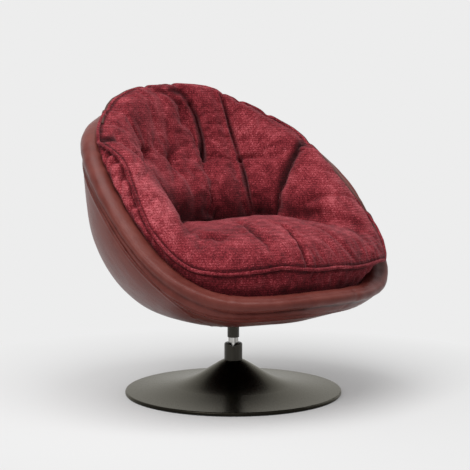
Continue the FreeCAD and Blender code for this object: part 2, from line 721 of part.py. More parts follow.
class Meridian:
    """The bucket's upright section in one direction from the axis."""

    def __init__(self, angle):
        self.angle = angle
        self.turn = reach(angle, 0)[1]
        blend = ((1 + math.cos(self.turn)) / 2) ** FULLNESS_TURN_SHARE
        self.fullness = FULLNESS_BACK_SHARE + (FULLNESS_FRONT_SHARE - FULLNESS_BACK_SHARE) * blend
        self.crest = cosine_height(RIM_FACTORS, self.turn)
        self.tangent = self.crest - length("roll_height")

    def edge(self, inset):
        """Distance from the axis of the outline moved in by the inset."""
        return reach(self.angle, inset)[0]

    def rise(self, distance, side_inset, bottom_inset):
        """Height of the wall at a distance from the axis."""
        share = min(distance / self.edge(side_inset), 1.0)
        bottom = length("bucket_bottom") + bottom_inset
        lift = 1 - (1 - share**self.fullness) ** (1 / self.fullness)
        return bottom + lift * (self.tangent - bottom)

    def wall(self, share, side_inset, bottom_inset):
        """Distance and height of the wall at a share of its quarter turn from bottom to tangent."""
        lift = 1 - math.cos(share * math.pi / 2)
        spread = (1 - (1 - lift) ** self.fullness) ** (1 / self.fullness)
        bottom = length("bucket_bottom") + bottom_inset
        return self.edge(side_inset) * spread, bottom + lift * (self.tangent - bottom)

    def share_at_height(self, height, bottom_inset):
        """The share of the quarter turn at which the wall has a height."""
        bottom = length("bucket_bottom") + bottom_inset
        lift = (height - bottom) / (self.tangent - bottom)
        return math.acos(min(max(1 - lift, 0.0), 1.0)) * 2 / math.pi

    def share_at_distance(self, distance, side_inset):
        """The share of the quarter turn at which the wall has a distance from the axis."""
        spread = distance / self.edge(side_inset)
        lift = 1 - (1 - spread**self.fullness) ** (1 / self.fullness)
        return math.acos(1 - lift) * 2 / math.pi

    def run(self, first, last, side_inset, bottom_inset):
        """Points of the wall between two shares."""
        return [self.wall(first + (last - first) * step / WALL_STEPS, side_inset, bottom_inset)
                for step in range(WALL_STEPS + 1)]

    def roll(self, inset):
        """Points over the padded rim, from its outer foot to its inner one."""
        half = length("roll_half_width")
        points = []
        for step in range(RIM_STATIONS + 1):
            swing = math.pi * step / RIM_STATIONS
            distance = self.edge(half) + (half - inset) * math.cos(swing)
            points.append((distance, self.tangent + (length("roll_height") - inset) * math.sin(swing)))
        return points

    def place(self, point):
        """A point of this section in space."""
        distance, height = point
        return Vector(distance * math.sin(self.angle), -distance * math.cos(self.angle), height)

    def smooth(self, points):
        """A smooth edge through points of this section."""
        curve = Part.BSplineCurve()
        curve.interpolate([self.place(point) for point in points])
        return curve.toShape()

    def straight(self, start, end):
        """A straight edge between two points of this section."""
        return Part.LineSegment(self.place(start), self.place(end)).toShape()

    def arc(self, start, middle, end):
        """An arc through three points of this section."""
        return Part.Arc(self.place(start), self.place(middle), self.place(end)).toShape()


def feature(label, shape):
    """A sub-part whose shape is computed from the sheet."""
    piece = doc.addObject("Part::Feature", label)
    piece.Label = label
    piece.Shape = shape
    return piece


def all_round(label, section):
    """A closed ring lofted through one section in each direction."""
    wires = []
    for station in range(RING_STATIONS):
        wires.append(Part.Wire(section(Meridian(2 * math.pi * station / RING_STATIONS))))
    return feature(label, Part.makeLoft(wires, True, False, True))


def wall_section(meridian, outer, inner, top_outer, top_inner):
    """Edges of a wall between two insets, from the bottom opening to a share of each."""
    opening = length("board_radius") + length("fit_gap")
    outside = meridian.run(meridian.share_at_distance(opening, outer[0]), top_outer, *outer)
    inside = meridian.run(meridian.share_at_distance(opening, inner[0]), top_inner, *inner)[::-1]
    return [meridian.smooth(outside), meridian.straight(outside[-1], inside[0]),
            meridian.smooth(inside), meridian.straight(inside[-1], outside[0])]


def lower_cover_section(meridian):
    """Leather from the bottom opening up to the seam below the rim."""
    thickness = length("cover_thickness")
    seam = meridian.crest - length("seam_drop")
    return wall_section(meridian, (0, 0), (thickness, thickness),
                        meridian.share_at_height(seam, 0), meridian.share_at_height(seam, thickness))


def rim_cover_section(meridian):
    """Leather from the seam up, over the padded rim and down to its inner foot."""
    thickness = length("cover_thickness")
    seam = meridian.crest - length("seam_drop") + length("skin_gap")
    outside = meridian.run(meridian.share_at_height(seam, 0), 1, 0, 0)
    inside = meridian.run(meridian.share_at_height(seam, thickness), 1, thickness, thickness)[::-1]
    over = meridian.roll(0)
    under = meridian.roll(thickness)[::-1]
    over[0] = outside[-1]
    under[-1] = inside[0]
    return [meridian.smooth(outside), meridian.smooth(over), meridian.straight(over[-1], under[0]),
            meridian.smooth(under), meridian.smooth(inside), meridian.straight(inside[-1], outside[0])]


def shell_section(meridian):
    """The moulded shell inside the leather, from the board to just under the padded rim."""
    outer = length("cover_thickness") + length("skin_gap")
    inner = outer + length("shell_thickness")
    top = meridian.tangent - length("fit_gap")
    return wall_section(meridian, (outer, outer), (inner, inner),
                        meridian.share_at_height(top, outer), meridian.share_at_height(top, inner))


def roll_section(meridian):
    """The foam of the padded rim, inside its leather."""
    over = meridian.roll(length("cover_thickness") + length("fit_gap"))
    return [meridian.smooth(over), meridian.straight(over[-1], over[0])]


def cavity_insets():
    """Side and bottom insets of the padded lining's inner face."""
    shell_inside = length("cover_thickness") + length("shell_thickness") + length("skin_gap")
    return length("roll_half_width") * 2, shell_inside + length("fit_gap") + length("pad_thickness")


def lining_section(meridian):
    """The padded lining: thin at the bottom and as wide as the padded rim at its top."""
    outer = length("cover_thickness") + length("shell_thickness") + length("skin_gap") + length("fit_gap")
    inner = cavity_insets()
    top = meridian.tangent - length("fit_gap")
    return wall_section(meridian, (outer, outer), inner,
                        meridian.share_at_height(top, outer), meridian.share_at_height(top, inner[1]))


def build_bucket():
    """Leather, shell, rim padding and lining of the bucket."""
    return [
        all_round("lower_cover", lower_cover_section),
        all_round("rim_cover", rim_cover_section),
        all_round("bucket_shell", shell_section),
        all_round("rim_padding", roll_section),
        all_round("padded_lining", lining_section),
    ]


# The cushion set

LOBE_STEPS = (0.0, 0.25, 0.5, 0.75)
LOBE_PULL_SHARES = (1.0, 0.4, 0.0, 0.4)
CHANNEL_TOP_SHARE = 0.3
TOE_LIFT_SHARE = 0.5
WING_SWELL_SHARE = 0.13
WING_STATIONS = 14
SEAT_CROWN_SHARE = 0.42
SEAT_ROLL_SHARE = 1.9
SEAT_NODE_SHARES = (1.0, 0.72, 0.4, 0.0)
SEAT_BOTTOM_SHARES = (0.0, 0.4, 0.75, 0.93, 1.0)
SEAT_SIDE_FALL_SHARE = 0.06
SEAT_CORNER_SHARE = 0.6
PLEAT_START_SHARE = 0.5
SEAT_STATIONS = 11
HALVINGS = 40
BACK_STRIP_ANGLE = 155
SEAT_STRIP_ANGLE = 30
SEAT_STRIP_SHARE = 0.55
LEANING_STEPS = 8


def cushion_insets():
    """Side and bottom insets of the space that the cushions fill."""
    side, bottom = cavity_insets()
    clearance = length("strip_thickness") + length("fit_gap") * 2 + length("cushion_gap")
    return side + clearance, bottom + clearance


def welt_height(meridian):
    """Height of the cushion set's welt in one direction."""
    return meridian.crest + cosine_height(RISE_FACTORS, meridian.turn)


def seat_front(across, inset):
    """Where the bucket's outline, moved in by an inset, lies in front of a place across the seat."""
    half_width = length("bucket_half_width") - inset
    depth = length("bucket_front_reach") - inset
    return length("bucket_centre") - depth * math.sqrt(1 - (across / half_width) ** 2)


def seat_rear(across):
    """Where the seat cushion's rear side lies along Y at a place across it: it turns softly forward."""
    run = length("seat_half_width") - length("seat_square_half_width")
    soft = run * SEAT_CORNER_SHARE
    slant = max(abs(across) - length("seat_square_half_width"), 0)
    fall = (math.hypot(slant, soft) - soft) / (math.hypot(run, soft) - soft)
    tip = seat_front(length("seat_half_width"), cushion_insets()[0]) + length("seat_tip_length")
    return length("seat_back_edge") + (tip - length("seat_back_edge")) * fall


def slant_reach(angle):
    """Distance from the axis of the seat cushion's rear side in one direction."""
    near = 0.0
    far = length("bucket_half_width")
    for _ in range(HALVINGS):
        middle = (near + far) / 2
        if -middle * math.cos(angle) < seat_rear(middle * math.sin(angle)):
            near = middle
        else:
            far = middle
    return far


def seat_top(across, along):
    """Height of the seat cushion's crowned top at a place, without its pleats."""
    rear = length("seat_back_edge")
    crown = length("seat_crown_height")
    crown_along = rear + (seat_front(0, length("cushion_edge_inset")) - rear) * SEAT_CROWN_SHARE
    fall = SEAT_SIDE_FALL_SHARE * length("seat_half_width") * (across / length("seat_half_width")) ** 2
    if along >= crown_along:
        share = (along - crown_along) / (rear - crown_along)
        return crown - fall - (crown - length("seat_rear_height")) * share**2
    front = seat_front(across, length("cushion_edge_inset"))
    welt = welt_height(Meridian(math.atan2(across, -front)))
    share = min((crown_along - along) / (crown_along - front), 1.0)
    drop = (1 - share**SEAT_ROLL_SHARE) ** (1 / SEAT_ROLL_SHARE)
    return welt + (crown - fall - welt) * drop


def bulged(start, end, amount):
    """The point beside the middle of two points of a section, moved out from the face."""
    along = (end[0] - start[0], end[1] - start[1])
    norm = math.hypot(*along)
    return ((start[0] + end[0]) / 2 + amount * along[1] / norm,
            (start[1] + end[1]) / 2 - amount * along[0] / norm)


def leaning_section(meridian, toe, pull=0.0, middle=None):
    """A back or wing cushion's section: foot, wall side, welt, crown and face. Pull is a tuft's share."""
    side, bottom = cushion_insets()
    corner = meridian.place((toe, 0))
    toe_top = (toe, seat_top(corner.x, corner.y) + length("crown_rise") * TOE_LIFT_SHARE)
    foot = (toe, meridian.rise(toe, side, bottom))
    start = meridian.share_at_distance(toe, side)
    outer = [meridian.wall(start + (1 - start) * step / LEANING_STEPS, side, bottom)
             for step in range(LEANING_STEPS + 1)]
    welt = (meridian.edge(length("cushion_edge_inset")), welt_height(meridian))
    top_pull = pull * CHANNEL_TOP_SHARE * length("tuft_depth")
    crown = (meridian.edge(length("crown_inset")), welt[1] + length("crown_rise") - top_pull)
    outer[0] = foot
    edges = [meridian.arc(*outer[step:step + 3]) for step in range(0, LEANING_STEPS, 2)]
    edges.append(meridian.straight(outer[-1], welt))
    edges.append(meridian.arc(welt, bulged(welt, crown, length("face_swell")), crown))
    if middle is None:
        swell = WING_SWELL_SHARE * math.hypot(crown[0] - toe_top[0], crown[1] - toe_top[1])
        edges.append(meridian.arc(crown, bulged(crown, toe_top, swell), toe_top))
    else:
        pulled = (middle[0] + pull * length("tuft_depth"), middle[1])
        edges.append(meridian.arc(crown, bulged(crown, pulled, length("face_swell")), pulled))
        edges.append(meridian.arc(pulled, bulged(pulled, toe_top, length("face_swell")), toe_top))
    edges.append(meridian.straight(toe_top, foot))
    return edges


def lobed_stations(seams):
    """Angles and pulls along a row of channels, with swells between them."""
    stations = []
    for first, last in zip(seams, seams[1:]):
        for step, pull in zip(LOBE_STEPS, LOBE_PULL_SHARES):
            stations.append((first + (last - first) * step, pull))
    stations.append((seams[-1], 1.0))
    return stations


def build_back_cushion():
    """The back cushion: five swells between four tufted channels, drawn in at both ends."""
    reach_at_face = length("back_face_reach")
    depth = reach(math.pi, 0)[0] - reach_at_face
    pitch = length("tuft_pitch")
    inner = math.atan2(pitch / 2, reach_at_face)
    outer = math.atan2(pitch + pitch / 2, reach_at_face)
    end = math.pi - math.radians(PARTITION_ANGLE)
    seams = [math.pi + swing for swing in (-end, -outer, -inner, inner, outer, end)]
    wires = []
    for angle, pull in lobed_stations(seams):
        meridian = Meridian(angle)
        toe = slant_reach(angle) + length("toe_clearance")
        middle = (meridian.edge(depth), length("tuft_height"))
        wires.append(Part.Wire(leaning_section(meridian, toe, pull, middle)))
    return feature("back_cushion", Part.makeLoft(wires, True, False))


def build_wing(label, side):
    """A wing cushion beside the sitter; side is 1 for +X and -1 for -X."""
    gap = length("cushion_gap")
    tip = (length("seat_half_width"), seat_rear(length("seat_half_width")))
    first = math.atan2(tip[0], -tip[1]) + length("wing_setback") / math.hypot(*tip)
    last = math.radians(PARTITION_ANGLE) - gap * 6 / length("back_face_reach")
    wires = []
    for step in range(WING_STATIONS):
        share = step / (WING_STATIONS - 1)
        angle = first + (last - first) * share
        meridian = Meridian(angle * side)
        toe = slant_reach(angle) + gap
        wires.append(Part.Wire(leaning_section(meridian, toe)))
    return feature(label, Part.makeLoft(wires, True, False))


def seat_section(across, pull):
    """Upright section of the seat cushion at a place across it. Pull is a pleat's share."""
    side, bottom = cushion_insets()
    rear = seat_rear(across)
    front = seat_front(across, side)

    def floor_point(along):
        """A point of the cushion's underside."""
        meridian = Meridian(math.atan2(across, -along))
        return Vector(across, along, meridian.rise(math.hypot(across, along), side, bottom))

    underside = [floor_point(rear + (front - rear) * share) for share in SEAT_BOTTOM_SHARES]
    welt_line = seat_front(across, length("cushion_edge_inset"))
    pleat = pull * length("seat_pleat_depth")

    def top_point(share):
        """A point of the crowned top at a share of the way from its rear to its welt."""
        along = rear + (welt_line - rear) * share
        sewn = pleat * (1 - share**2)
        return Vector(across, along, seat_top(across, along) - sewn)

    edges = []
    for start, end in zip(underside, underside[1:]):
        middle = floor_point((start.y + end.y) / 2)
        edges.append(Part.Arc(start, middle, end).toShape())
    edges.append(Part.LineSegment(underside[-1], top_point(1)).toShape())
    for first, last in zip(SEAT_NODE_SHARES, SEAT_NODE_SHARES[1:]):
        edges.append(Part.Arc(top_point(first), top_point((first + last) / 2), top_point(last)).toShape())
    edges.append(Part.LineSegment(top_point(0), underside[0]).toShape())
    return Part.Wire(edges)


def pleat_pull(across):
    """How far the pleats draw the seat's top in at a place across it, as a share of their depth."""
    swing = across / length("seat_pleat_pitch") - PLEAT_START_SHARE
    return (1 - 2 * abs(swing - round(swing))) ** 2


def build_seat_cushion():
    """The seat cushion: a crowned pad with sewn pleats from back to front."""
    half_width = length("seat_half_width")
    wires = []
    for station in range(-SEAT_STATIONS, SEAT_STATIONS + 1):
        across = half_width * station / SEAT_STATIONS
        wires.append(seat_section(across, pleat_pull(across)))
    return feature("seat_cushion", Part.makeLoft(wires, True, True))


def strip_patch(angle, first, last, width):
    """A curved fastening strip on the lining, between two shares of the wall."""
    side, bottom = cavity_insets()
    lift = length("fit_gap")
    low = (side + lift, bottom + lift)
    high = (low[0] + length("strip_thickness"), low[1] + length("strip_thickness"))
    wires = []
    for step in (-1, 0, 1):
        meridian = Meridian(angle)
        half = width / 2 / meridian.wall((first + last) / 2, *low)[0]
        meridian = Meridian(angle + step * half)
        lower = [meridian.wall(share, *low) for share in (first, (first + last) / 2, last)]
        upper = [meridian.wall(share, *high) for share in (last, (first + last) / 2, first)]
        wires.append(Part.Wire([
            meridian.arc(*lower), meridian.straight(lower[-1], upper[0]),
            meridian.arc(*upper), meridian.straight(upper[-1], lower[0]),
        ]))
    return Part.makeLoft(wires, True, False)


def build_strips():
    """Hook-and-loop strips that hold the cushion set: two under the back and two under the seat."""
    bottom = cavity_insets()[1]
    patches = []
    for turn, behind in ((BACK_STRIP_ANGLE, True), (SEAT_STRIP_ANGLE, False)):
        for side in (1, -1):
            angle = math.radians(turn * side)
            meridian = Meridian(angle)
            middle = meridian.share_at_height(length("tuft_height"), bottom) if behind else SEAT_STRIP_SHARE
            half = length("strip_length") / meridian.edge(0) / math.pi / 2
            patches.append(strip_patch(angle, middle - half, middle + half, length("strip_width")))
    return feature("fastening_strips", Part.makeCompound(patches))


def build_cushions():
    """The cushion set and its fastening strips."""
    return [
        build_seat_cushion(),
        build_wing("wing_cushion_left", 1),
        build_wing("wing_cushion_right", -1),
        build_back_cushion(),
        build_strips(),
    ]


# Checks and export


def check_and_write(pieces):
    """Stop on a failed object or an unsound solid, then write each piece to its own file."""
    doc.recompute()
    for item in doc.Objects:
        if "Invalid" in item.State or "Error" in item.State:
            raise ValueError(f"{item.Name}: {item.State}")
    for piece in pieces:
        if piece.Shape.isNull() or not piece.Shape.isValid() or not piece.Shape.Solids:
            raise ValueError(f"{piece.Label}: unsound shape")
    os.makedirs("parts", exist_ok=True)
    for piece in pieces:
        piece.Shape.exportStep(f"parts/{piece.Label}.step")
        box = piece.Shape.BoundBox
        print(f"{piece.Label}: {len(piece.Shape.Solids)} solid(s), {piece.Shape.Volume / 1000:.1f} cm3, "
              f"x {box.XMin:.1f} to {box.XMax:.1f}, y {box.YMin:.1f} to {box.YMax:.1f}, "
              f"z {box.ZMin:.1f} to {box.ZMax:.1f}")


check_and_write(build_foot() + build_seat_mounting() + build_bucket() + build_cushions())
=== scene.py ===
import logging
import math
from dataclasses import dataclass, field
from enum import Enum
from typing import Optional, Sequence

import bpy
import numpy as np
from mathutils import Euler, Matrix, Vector, noise
from mathutils.kdtree import KDTree


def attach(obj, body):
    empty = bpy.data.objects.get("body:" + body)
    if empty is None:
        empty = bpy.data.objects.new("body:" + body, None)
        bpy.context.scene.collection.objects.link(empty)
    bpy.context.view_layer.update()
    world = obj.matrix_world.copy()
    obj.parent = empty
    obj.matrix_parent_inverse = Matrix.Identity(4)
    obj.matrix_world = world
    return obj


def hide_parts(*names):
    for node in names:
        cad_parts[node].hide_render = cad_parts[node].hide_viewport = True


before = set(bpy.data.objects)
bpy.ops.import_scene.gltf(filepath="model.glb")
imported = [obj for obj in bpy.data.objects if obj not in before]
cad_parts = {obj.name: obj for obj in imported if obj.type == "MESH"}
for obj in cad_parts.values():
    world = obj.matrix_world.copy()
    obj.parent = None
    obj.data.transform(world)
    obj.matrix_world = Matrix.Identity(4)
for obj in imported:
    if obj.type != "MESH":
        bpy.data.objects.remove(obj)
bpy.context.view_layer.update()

log = logging.getLogger("swivel_armchair")

Colour = tuple[float, float, float]
Span = tuple[float, float]
Face = tuple[int, ...]
Place = tuple[float, float, float]
# Corners nearer than this are one corner, in metres
DOUBLES_APART = 0.00002
# How far apart a crease's points are, and how far from it places are still measured
LINE_STEP = 0.004
LINE_REACH = 0.09
# A crease of this depth or more gets the full painted shade
FULL_DEPTH = 0.012
# A band texture of scale 1 turns by this many radians in a metre
BAND_SCALE = 20.0


# Mesh tools


def deselect_all() -> None:
    """Leaves edit mode and deselects every object."""
    if bpy.context.object is not None and bpy.context.object.mode != "OBJECT":
        bpy.ops.object.mode_set(mode="OBJECT")
    bpy.ops.object.select_all(action="DESELECT")


def make_active(piece: bpy.types.Object) -> None:
    """Makes one object the only selected one.

    Args:
        piece: The object.
    """
    deselect_all()
    piece.select_set(True)
    bpy.context.view_layer.objects.active = piece


def mesh_piece(name: str, points: np.ndarray, faces: Sequence[Sequence[int]]) -> bpy.types.Object:
    """Makes a smooth-shaded object from points and faces.

    Args:
        name: The object's name.
        points: Corner places in metres, one row each.
        faces: Corner numbers of each face, turned so that the face looks outwards.

    Returns:
        The new object, linked to the scene.
    """
    mesh = bpy.data.meshes.new(name)
    places = [tuple(map(float, row)) for row in points]
    mesh.from_pydata(places, [], [tuple(map(int, face)) for face in faces])
    mesh.update()
    mesh.polygons.foreach_set("use_smooth", np.ones(len(mesh.polygons), dtype=bool))
    piece = bpy.data.objects.new(name, mesh)
    bpy.context.scene.collection.objects.link(piece)
    return piece


def read_field(piece: bpy.types.Object, name: str) -> np.ndarray:
    """Reads a field of three numbers of an object's corners.

    Args:
        piece: The object.
        name: Blender's name of the field, such as co or normal.

    Returns:
        One row per corner.
    """
    flat = np.empty(len(piece.data.vertices) * 3)
    piece.data.vertices.foreach_get(name, flat)
    return flat.reshape(-1, 3)


def read_points(piece: bpy.types.Object) -> np.ndarray:
    """The places of an object's corners, one row each."""
    return read_field(piece, "co")


def write_points(piece: bpy.types.Object, points: np.ndarray) -> None:
    """Writes the places of an object's corners."""
    piece.data.vertices.foreach_set("co", np.ascontiguousarray(points, dtype=float).ravel())
    piece.data.update()


def read_normals(piece: bpy.types.Object) -> np.ndarray:
    """The corner normals of an object, one row each."""
    return read_field(piece, "normal")


def write_shade(piece: bpy.types.Object, name: str, values: np.ndarray) -> None:
    """Gives an object a named value per corner, which its material reads."""
    layer = piece.data.attributes.new(name, "FLOAT", "POINT")
    layer.data.foreach_set("value", values)


def apply_modifiers(piece: bpy.types.Object) -> None:
    """Applies an object's modifiers.

    Args:
        piece: The object, whose modifiers are applied in their order.
    """
    make_active(piece)
    for modifier in list(piece.modifiers):
        bpy.ops.object.modifier_apply(modifier=modifier.name)


def recalculate_normals(piece: bpy.types.Object) -> None:
    """Merges doubled corners and turns every face outwards.

    Args:
        piece: The object to mend.
    """
    make_active(piece)
    bpy.ops.object.mode_set(mode="EDIT")
    bpy.ops.mesh.select_all(action="SELECT")
    bpy.ops.mesh.remove_doubles(threshold=DOUBLES_APART)
    bpy.ops.mesh.normals_make_consistent(inside=False)
    bpy.ops.object.mode_set(mode="OBJECT")


def grid_faces(columns: int, rows: int, wrap_columns: bool = True, wrap_rows: bool = True,
               turned: bool = False) -> list[Face]:
    """Faces of a grid of corners that are numbered down each column.

    Args:
        columns: Number of columns.
        rows: Corners in each column.
        wrap_columns: Whether the last column joins the first.
        wrap_rows: Whether the last corner of a column joins its first.
        turned: Whether the faces look the other way.

    Returns:
        Corner numbers of each face, with one more face over each open end of a tube.
    """
    faces: list[Face] = []
    for column in range(columns if wrap_columns else columns - 1):
        near, far = column * rows, (column + 1) % columns * rows
        for row in range(rows if wrap_rows else rows - 1):
            other = (row + 1) % rows
            faces.append((near + row, far + row, far + other, near + other))
    if wrap_rows and not wrap_columns:
        faces.append(tuple(range(rows)))
        faces.append(tuple((columns - 1) * rows + row for row in range(rows))[::-1])
    if not turned:
        return faces
    return [(face[0], *face[:0:-1]) for face in faces]


def thicken(piece: bpy.types.Object, thickness: float) -> None:
    """Gives a skin its thickness, inwards from its faces.

    Args:
        piece: The skin.
        thickness: In metres.
    """
    solid = piece.modifiers.new("thickness", "SOLIDIFY")
    solid.thickness, solid.offset = thickness, -1.0
    apply_modifiers(piece)


def tube_piece(name: str, path: np.ndarray, radius: float, closed: bool, sides: int = 10) -> bpy.types.Object:
    """Makes a round tube of mesh along a path.

    Args:
        name: The object's name.
        path: Points of the middle line, one row each.
        radius: The tube's radius in metres.
        closed: Whether the last point joins the first.
        sides: Corners around the tube.

    Returns:
        The tube, with closed ends where it is open.
    """
    count = len(path)
    ahead = np.roll(path, -1, axis=0) - np.roll(path, 1, axis=0)
    if not closed:
        ahead[0] = path[1] - path[0]
        ahead[-1] = path[-1] - path[-2]
    ahead /= np.linalg.norm(ahead, axis=1)[:, None]
    side = np.cross(ahead, np.array([0.0, 0.0, 1.0]))
    side /= np.linalg.norm(side, axis=1)[:, None]
    up = np.cross(side, ahead)
    swing = (2 * np.pi * np.arange(sides) / sides)[None, :, None]
    ring = np.cos(swing) * side[:, None, :] + np.sin(swing) * up[:, None, :]
    points = (path[:, None, :] + radius * ring).reshape(-1, 3)
    piece = mesh_piece(name, points, grid_faces(count, sides, wrap_columns=closed, turned=True))
    recalculate_normals(piece)
    return piece


def smooth_step(low: float, high: float, value: np.ndarray) -> np.ndarray:
    """A soft rise from 0 at low to 1 at high."""
    share = np.clip((value - low) / (high - low), 0.0, 1.0)
    return share * share * (3 - 2 * share)


def bell(offset: np.ndarray, width: float) -> np.ndarray:
    """A bell curve: 1 at no offset and almost 0 at two widths."""
    return np.exp(-((offset / width) ** 2))


@dataclass(frozen=True)
class Ridge:
    """A soft ridge: where its middle lies, how wide it is and how high."""

    middle: float
    width: float
    height: float = 1.0

    def at(self, value: np.ndarray) -> np.ndarray:
        """Height of the ridge at each value."""
        return self.height * bell(value - self.middle, self.width)


def section(ridges: Sequence[Ridge], value: np.ndarray) -> np.ndarray:
    """The sum of several ridges' heights at each value."""
    return sum(ridge.at(value) for ridge in ridges)


def turn_from(degrees: np.ndarray, place: float) -> np.ndarray:
    """How many degrees a direction lies from a place, within half a turn each way."""
    return (degrees - place + 180.0) % 360.0 - 180.0


def bend(places: Sequence[np.ndarray], share: np.ndarray) -> np.ndarray:
    """A smooth curve from the first place to the last, drawn towards those between.

    Args:
        places: Three or four places.
        share: Shares of the way along it, as a column.

    Returns:
        Places on the curve, one row each.
    """
    last = len(places) - 1
    return sum(math.comb(last, step) * place * share**step * (1 - share) ** (last - step)
               for step, place in enumerate(places))


def smooth_path(knots: np.ndarray, share: np.ndarray) -> np.ndarray:
    """A smooth curve through points.

    Args:
        knots: The points, one row each.
        share: Shares of the way along the curve.

    Returns:
        Places on the curve.
    """
    steps = np.linalg.norm(np.diff(knots, axis=0), axis=1)
    walked = np.concatenate([[0.0], np.cumsum(steps)]) / steps.sum()
    slopes = np.gradient(knots, walked, axis=0)
    index = np.clip(np.searchsorted(walked, share, side="right") - 1, 0, len(knots) - 2)
    span = (walked[index + 1] - walked[index])[:, None]
    way = ((share - walked[index])[:, None]) / span
    square, cube = way**2, way**3
    return ((2 * cube - 3 * square + 1) * knots[index] + (cube - 2 * square + way) * span * slopes[index]
            + (3 * square - 2 * cube) * knots[index + 1] + (cube - square) * span * slopes[index + 1])


def rough_noise(points: np.ndarray, scale: float, octaves: int, seed: float = 0.0) -> np.ndarray:
    """Fractal noise at each point.

    Args:
        points: Places in metres, one row each.
        scale: Waves per metre.
        octaves: How many finer layers are added.
        seed: Shifts the pattern.

    Returns:
        One value per point, about -1 to 1.
    """
    shift = Vector((seed, seed * 1.7, -seed))
    return np.array([noise.fractal(Vector(row) * scale + shift, 1.0, 2.0, octaves) for row in points])


# The bucket's form, in the same sizes as the frame


@dataclass(frozen=True)
class BucketForm:
    """Outline, rim and wall of the bucket in each direction from the column's axis.

    Directions are angles from the front (-Y), positive towards +X.
    """

    half_width: float = 0.428
    front_reach: float = 0.370
    back_reach: float = 0.391
    centre: float = -0.017
    bottom: float = 0.196
    opening: float = 0.0583
    rim_heights: tuple[float, ...] = (0.326, 0.324, 0.393, 0.570, 0.705, 0.778, 0.812)
    fullness_front: float = 1.45
    fullness_back: float = 2.8
    fullness_turn: float = 1.1
    roll_half_width: float = 0.028
    roll_height: float = 0.020
    seam_drop: float = 0.058
    leather_thickness: float = 0.004

    def reach(self, angle: np.ndarray, inset: np.ndarray) -> tuple[np.ndarray, np.ndarray]:
        """Distance of the outline moved in by an inset, and its own turn.

        Args:
            angle: Directions in radians.
            inset: How far the outline is moved in, in metres.

        Returns:
            The distances from the axis and the turns in radians.
        """
        angle = np.asarray(angle, dtype=float)
        across = np.sin(angle)
        along = -np.cos(angle)
        half_width = self.half_width - inset
        found = []
        for depth in (self.front_reach - inset, self.back_reach - inset):
            square = (across / half_width) ** 2 + (along / depth) ** 2
            linear = -2 * along * self.centre / depth**2
            rest = (self.centre / depth) ** 2 - 1
            found.append((-linear + np.sqrt(linear**2 - 4 * square * rest)) / (2 * square))
        front = self.centre - found[0] * along >= 0
        distance = np.where(front, found[0], found[1])
        depth = np.where(front, self.front_reach - inset, self.back_reach - inset)
        turn = np.arctan2(distance * across / half_width, (self.centre - distance * along) / depth)
        return distance, turn

    def crest(self, angle: np.ndarray) -> np.ndarray:
        """Height of the padded rim's crest, as a sum of cosines through the rim heights.

        Args:
            angle: Directions in radians.

        Returns:
            One height for each direction.
        """
        turn = self.reach(angle, 0.0)[1]
        count = len(self.rim_heights) - 1
        height = np.zeros_like(turn)
        for order in range(count + 1):
            total = 0.0
            for index, value in enumerate(self.rim_heights):
                weight = 0.5 if index in (0, count) else 1.0
                total += weight * value * math.cos(math.pi * order * index / count)
            edge = 0.5 if order in (0, count) else 1.0
            height += 2 * edge * total / count * np.cos(order * turn)
        return height

    def fullness(self, angle: np.ndarray) -> np.ndarray:
        """How full the wall's curve is.

        Args:
            angle: Directions in radians.

        Returns:
            The curve's power in each direction.
        """
        turn = self.reach(angle, 0.0)[1]
        blend = ((1 + np.cos(turn)) / 2) ** self.fullness_turn
        return self.fullness_back + (self.fullness_front - self.fullness_back) * blend

    def wall(self, angle: np.ndarray, share: np.ndarray, side: float,
             low: float) -> tuple[np.ndarray, np.ndarray]:
        """The wall at a share of its quarter turn.

        Args:
            angle: Directions in radians.
            share: 0 at the bottom to 1 at the foot of the rim.
            side: How far the wall is moved in at the side.
            low: How far it is moved up at the bottom.

        Returns:
            Distances from the axis and heights.
        """
        lift = 1 - np.cos(share * np.pi / 2)
        full = self.fullness(angle)
        spread = (1 - (1 - lift) ** full) ** (1 / full)
        bottom = self.bottom + low
        tangent = self.crest(angle) - self.roll_height
        return self.reach(angle, side)[0] * spread, bottom + lift * (tangent - bottom)

    def share_at_height(self, angle: np.ndarray, height: np.ndarray, low: float) -> np.ndarray:
        """The share of the wall's quarter turn at a height.

        Args:
            angle: Directions in radians.
            height: The height in each direction.
            low: How far the wall is moved up at the bottom.

        Returns:
            Shares from 0 at the bottom to 1 at the foot of the rim.
        """
        bottom = self.bottom + low
        tangent = self.crest(angle) - self.roll_height
        lift = (height - bottom) / (tangent - bottom)
        return np.arccos(np.clip(1 - lift, 0.0, 1.0)) * 2 / np.pi

    def share_at_distance(self, angle: np.ndarray, distance: np.ndarray, side: float) -> np.ndarray:
        """The share of the wall's quarter turn at a distance from the axis.

        Args:
            angle: Directions in radians.
            distance: The distance in each direction.
            side: How far the wall is moved in at the side.

        Returns:
            Shares from 0 at the bottom to 1 at the foot of the rim.
        """
        full = self.fullness(angle)
        spread = np.clip(distance / self.reach(angle, side)[0], 0.0, 1.0)
        lift = 1 - (1 - spread**full) ** (1 / full)
        return np.arccos(np.clip(1 - lift, 0.0, 1.0)) * 2 / np.pi


FORM = BucketForm()


def in_space(angle: np.ndarray, distance: np.ndarray, height: np.ndarray) -> np.ndarray:
    """Places from directions, distances from the axis and heights."""
    return np.stack([distance * np.sin(angle), -distance * np.cos(angle), height], axis=-1)


# Finishes


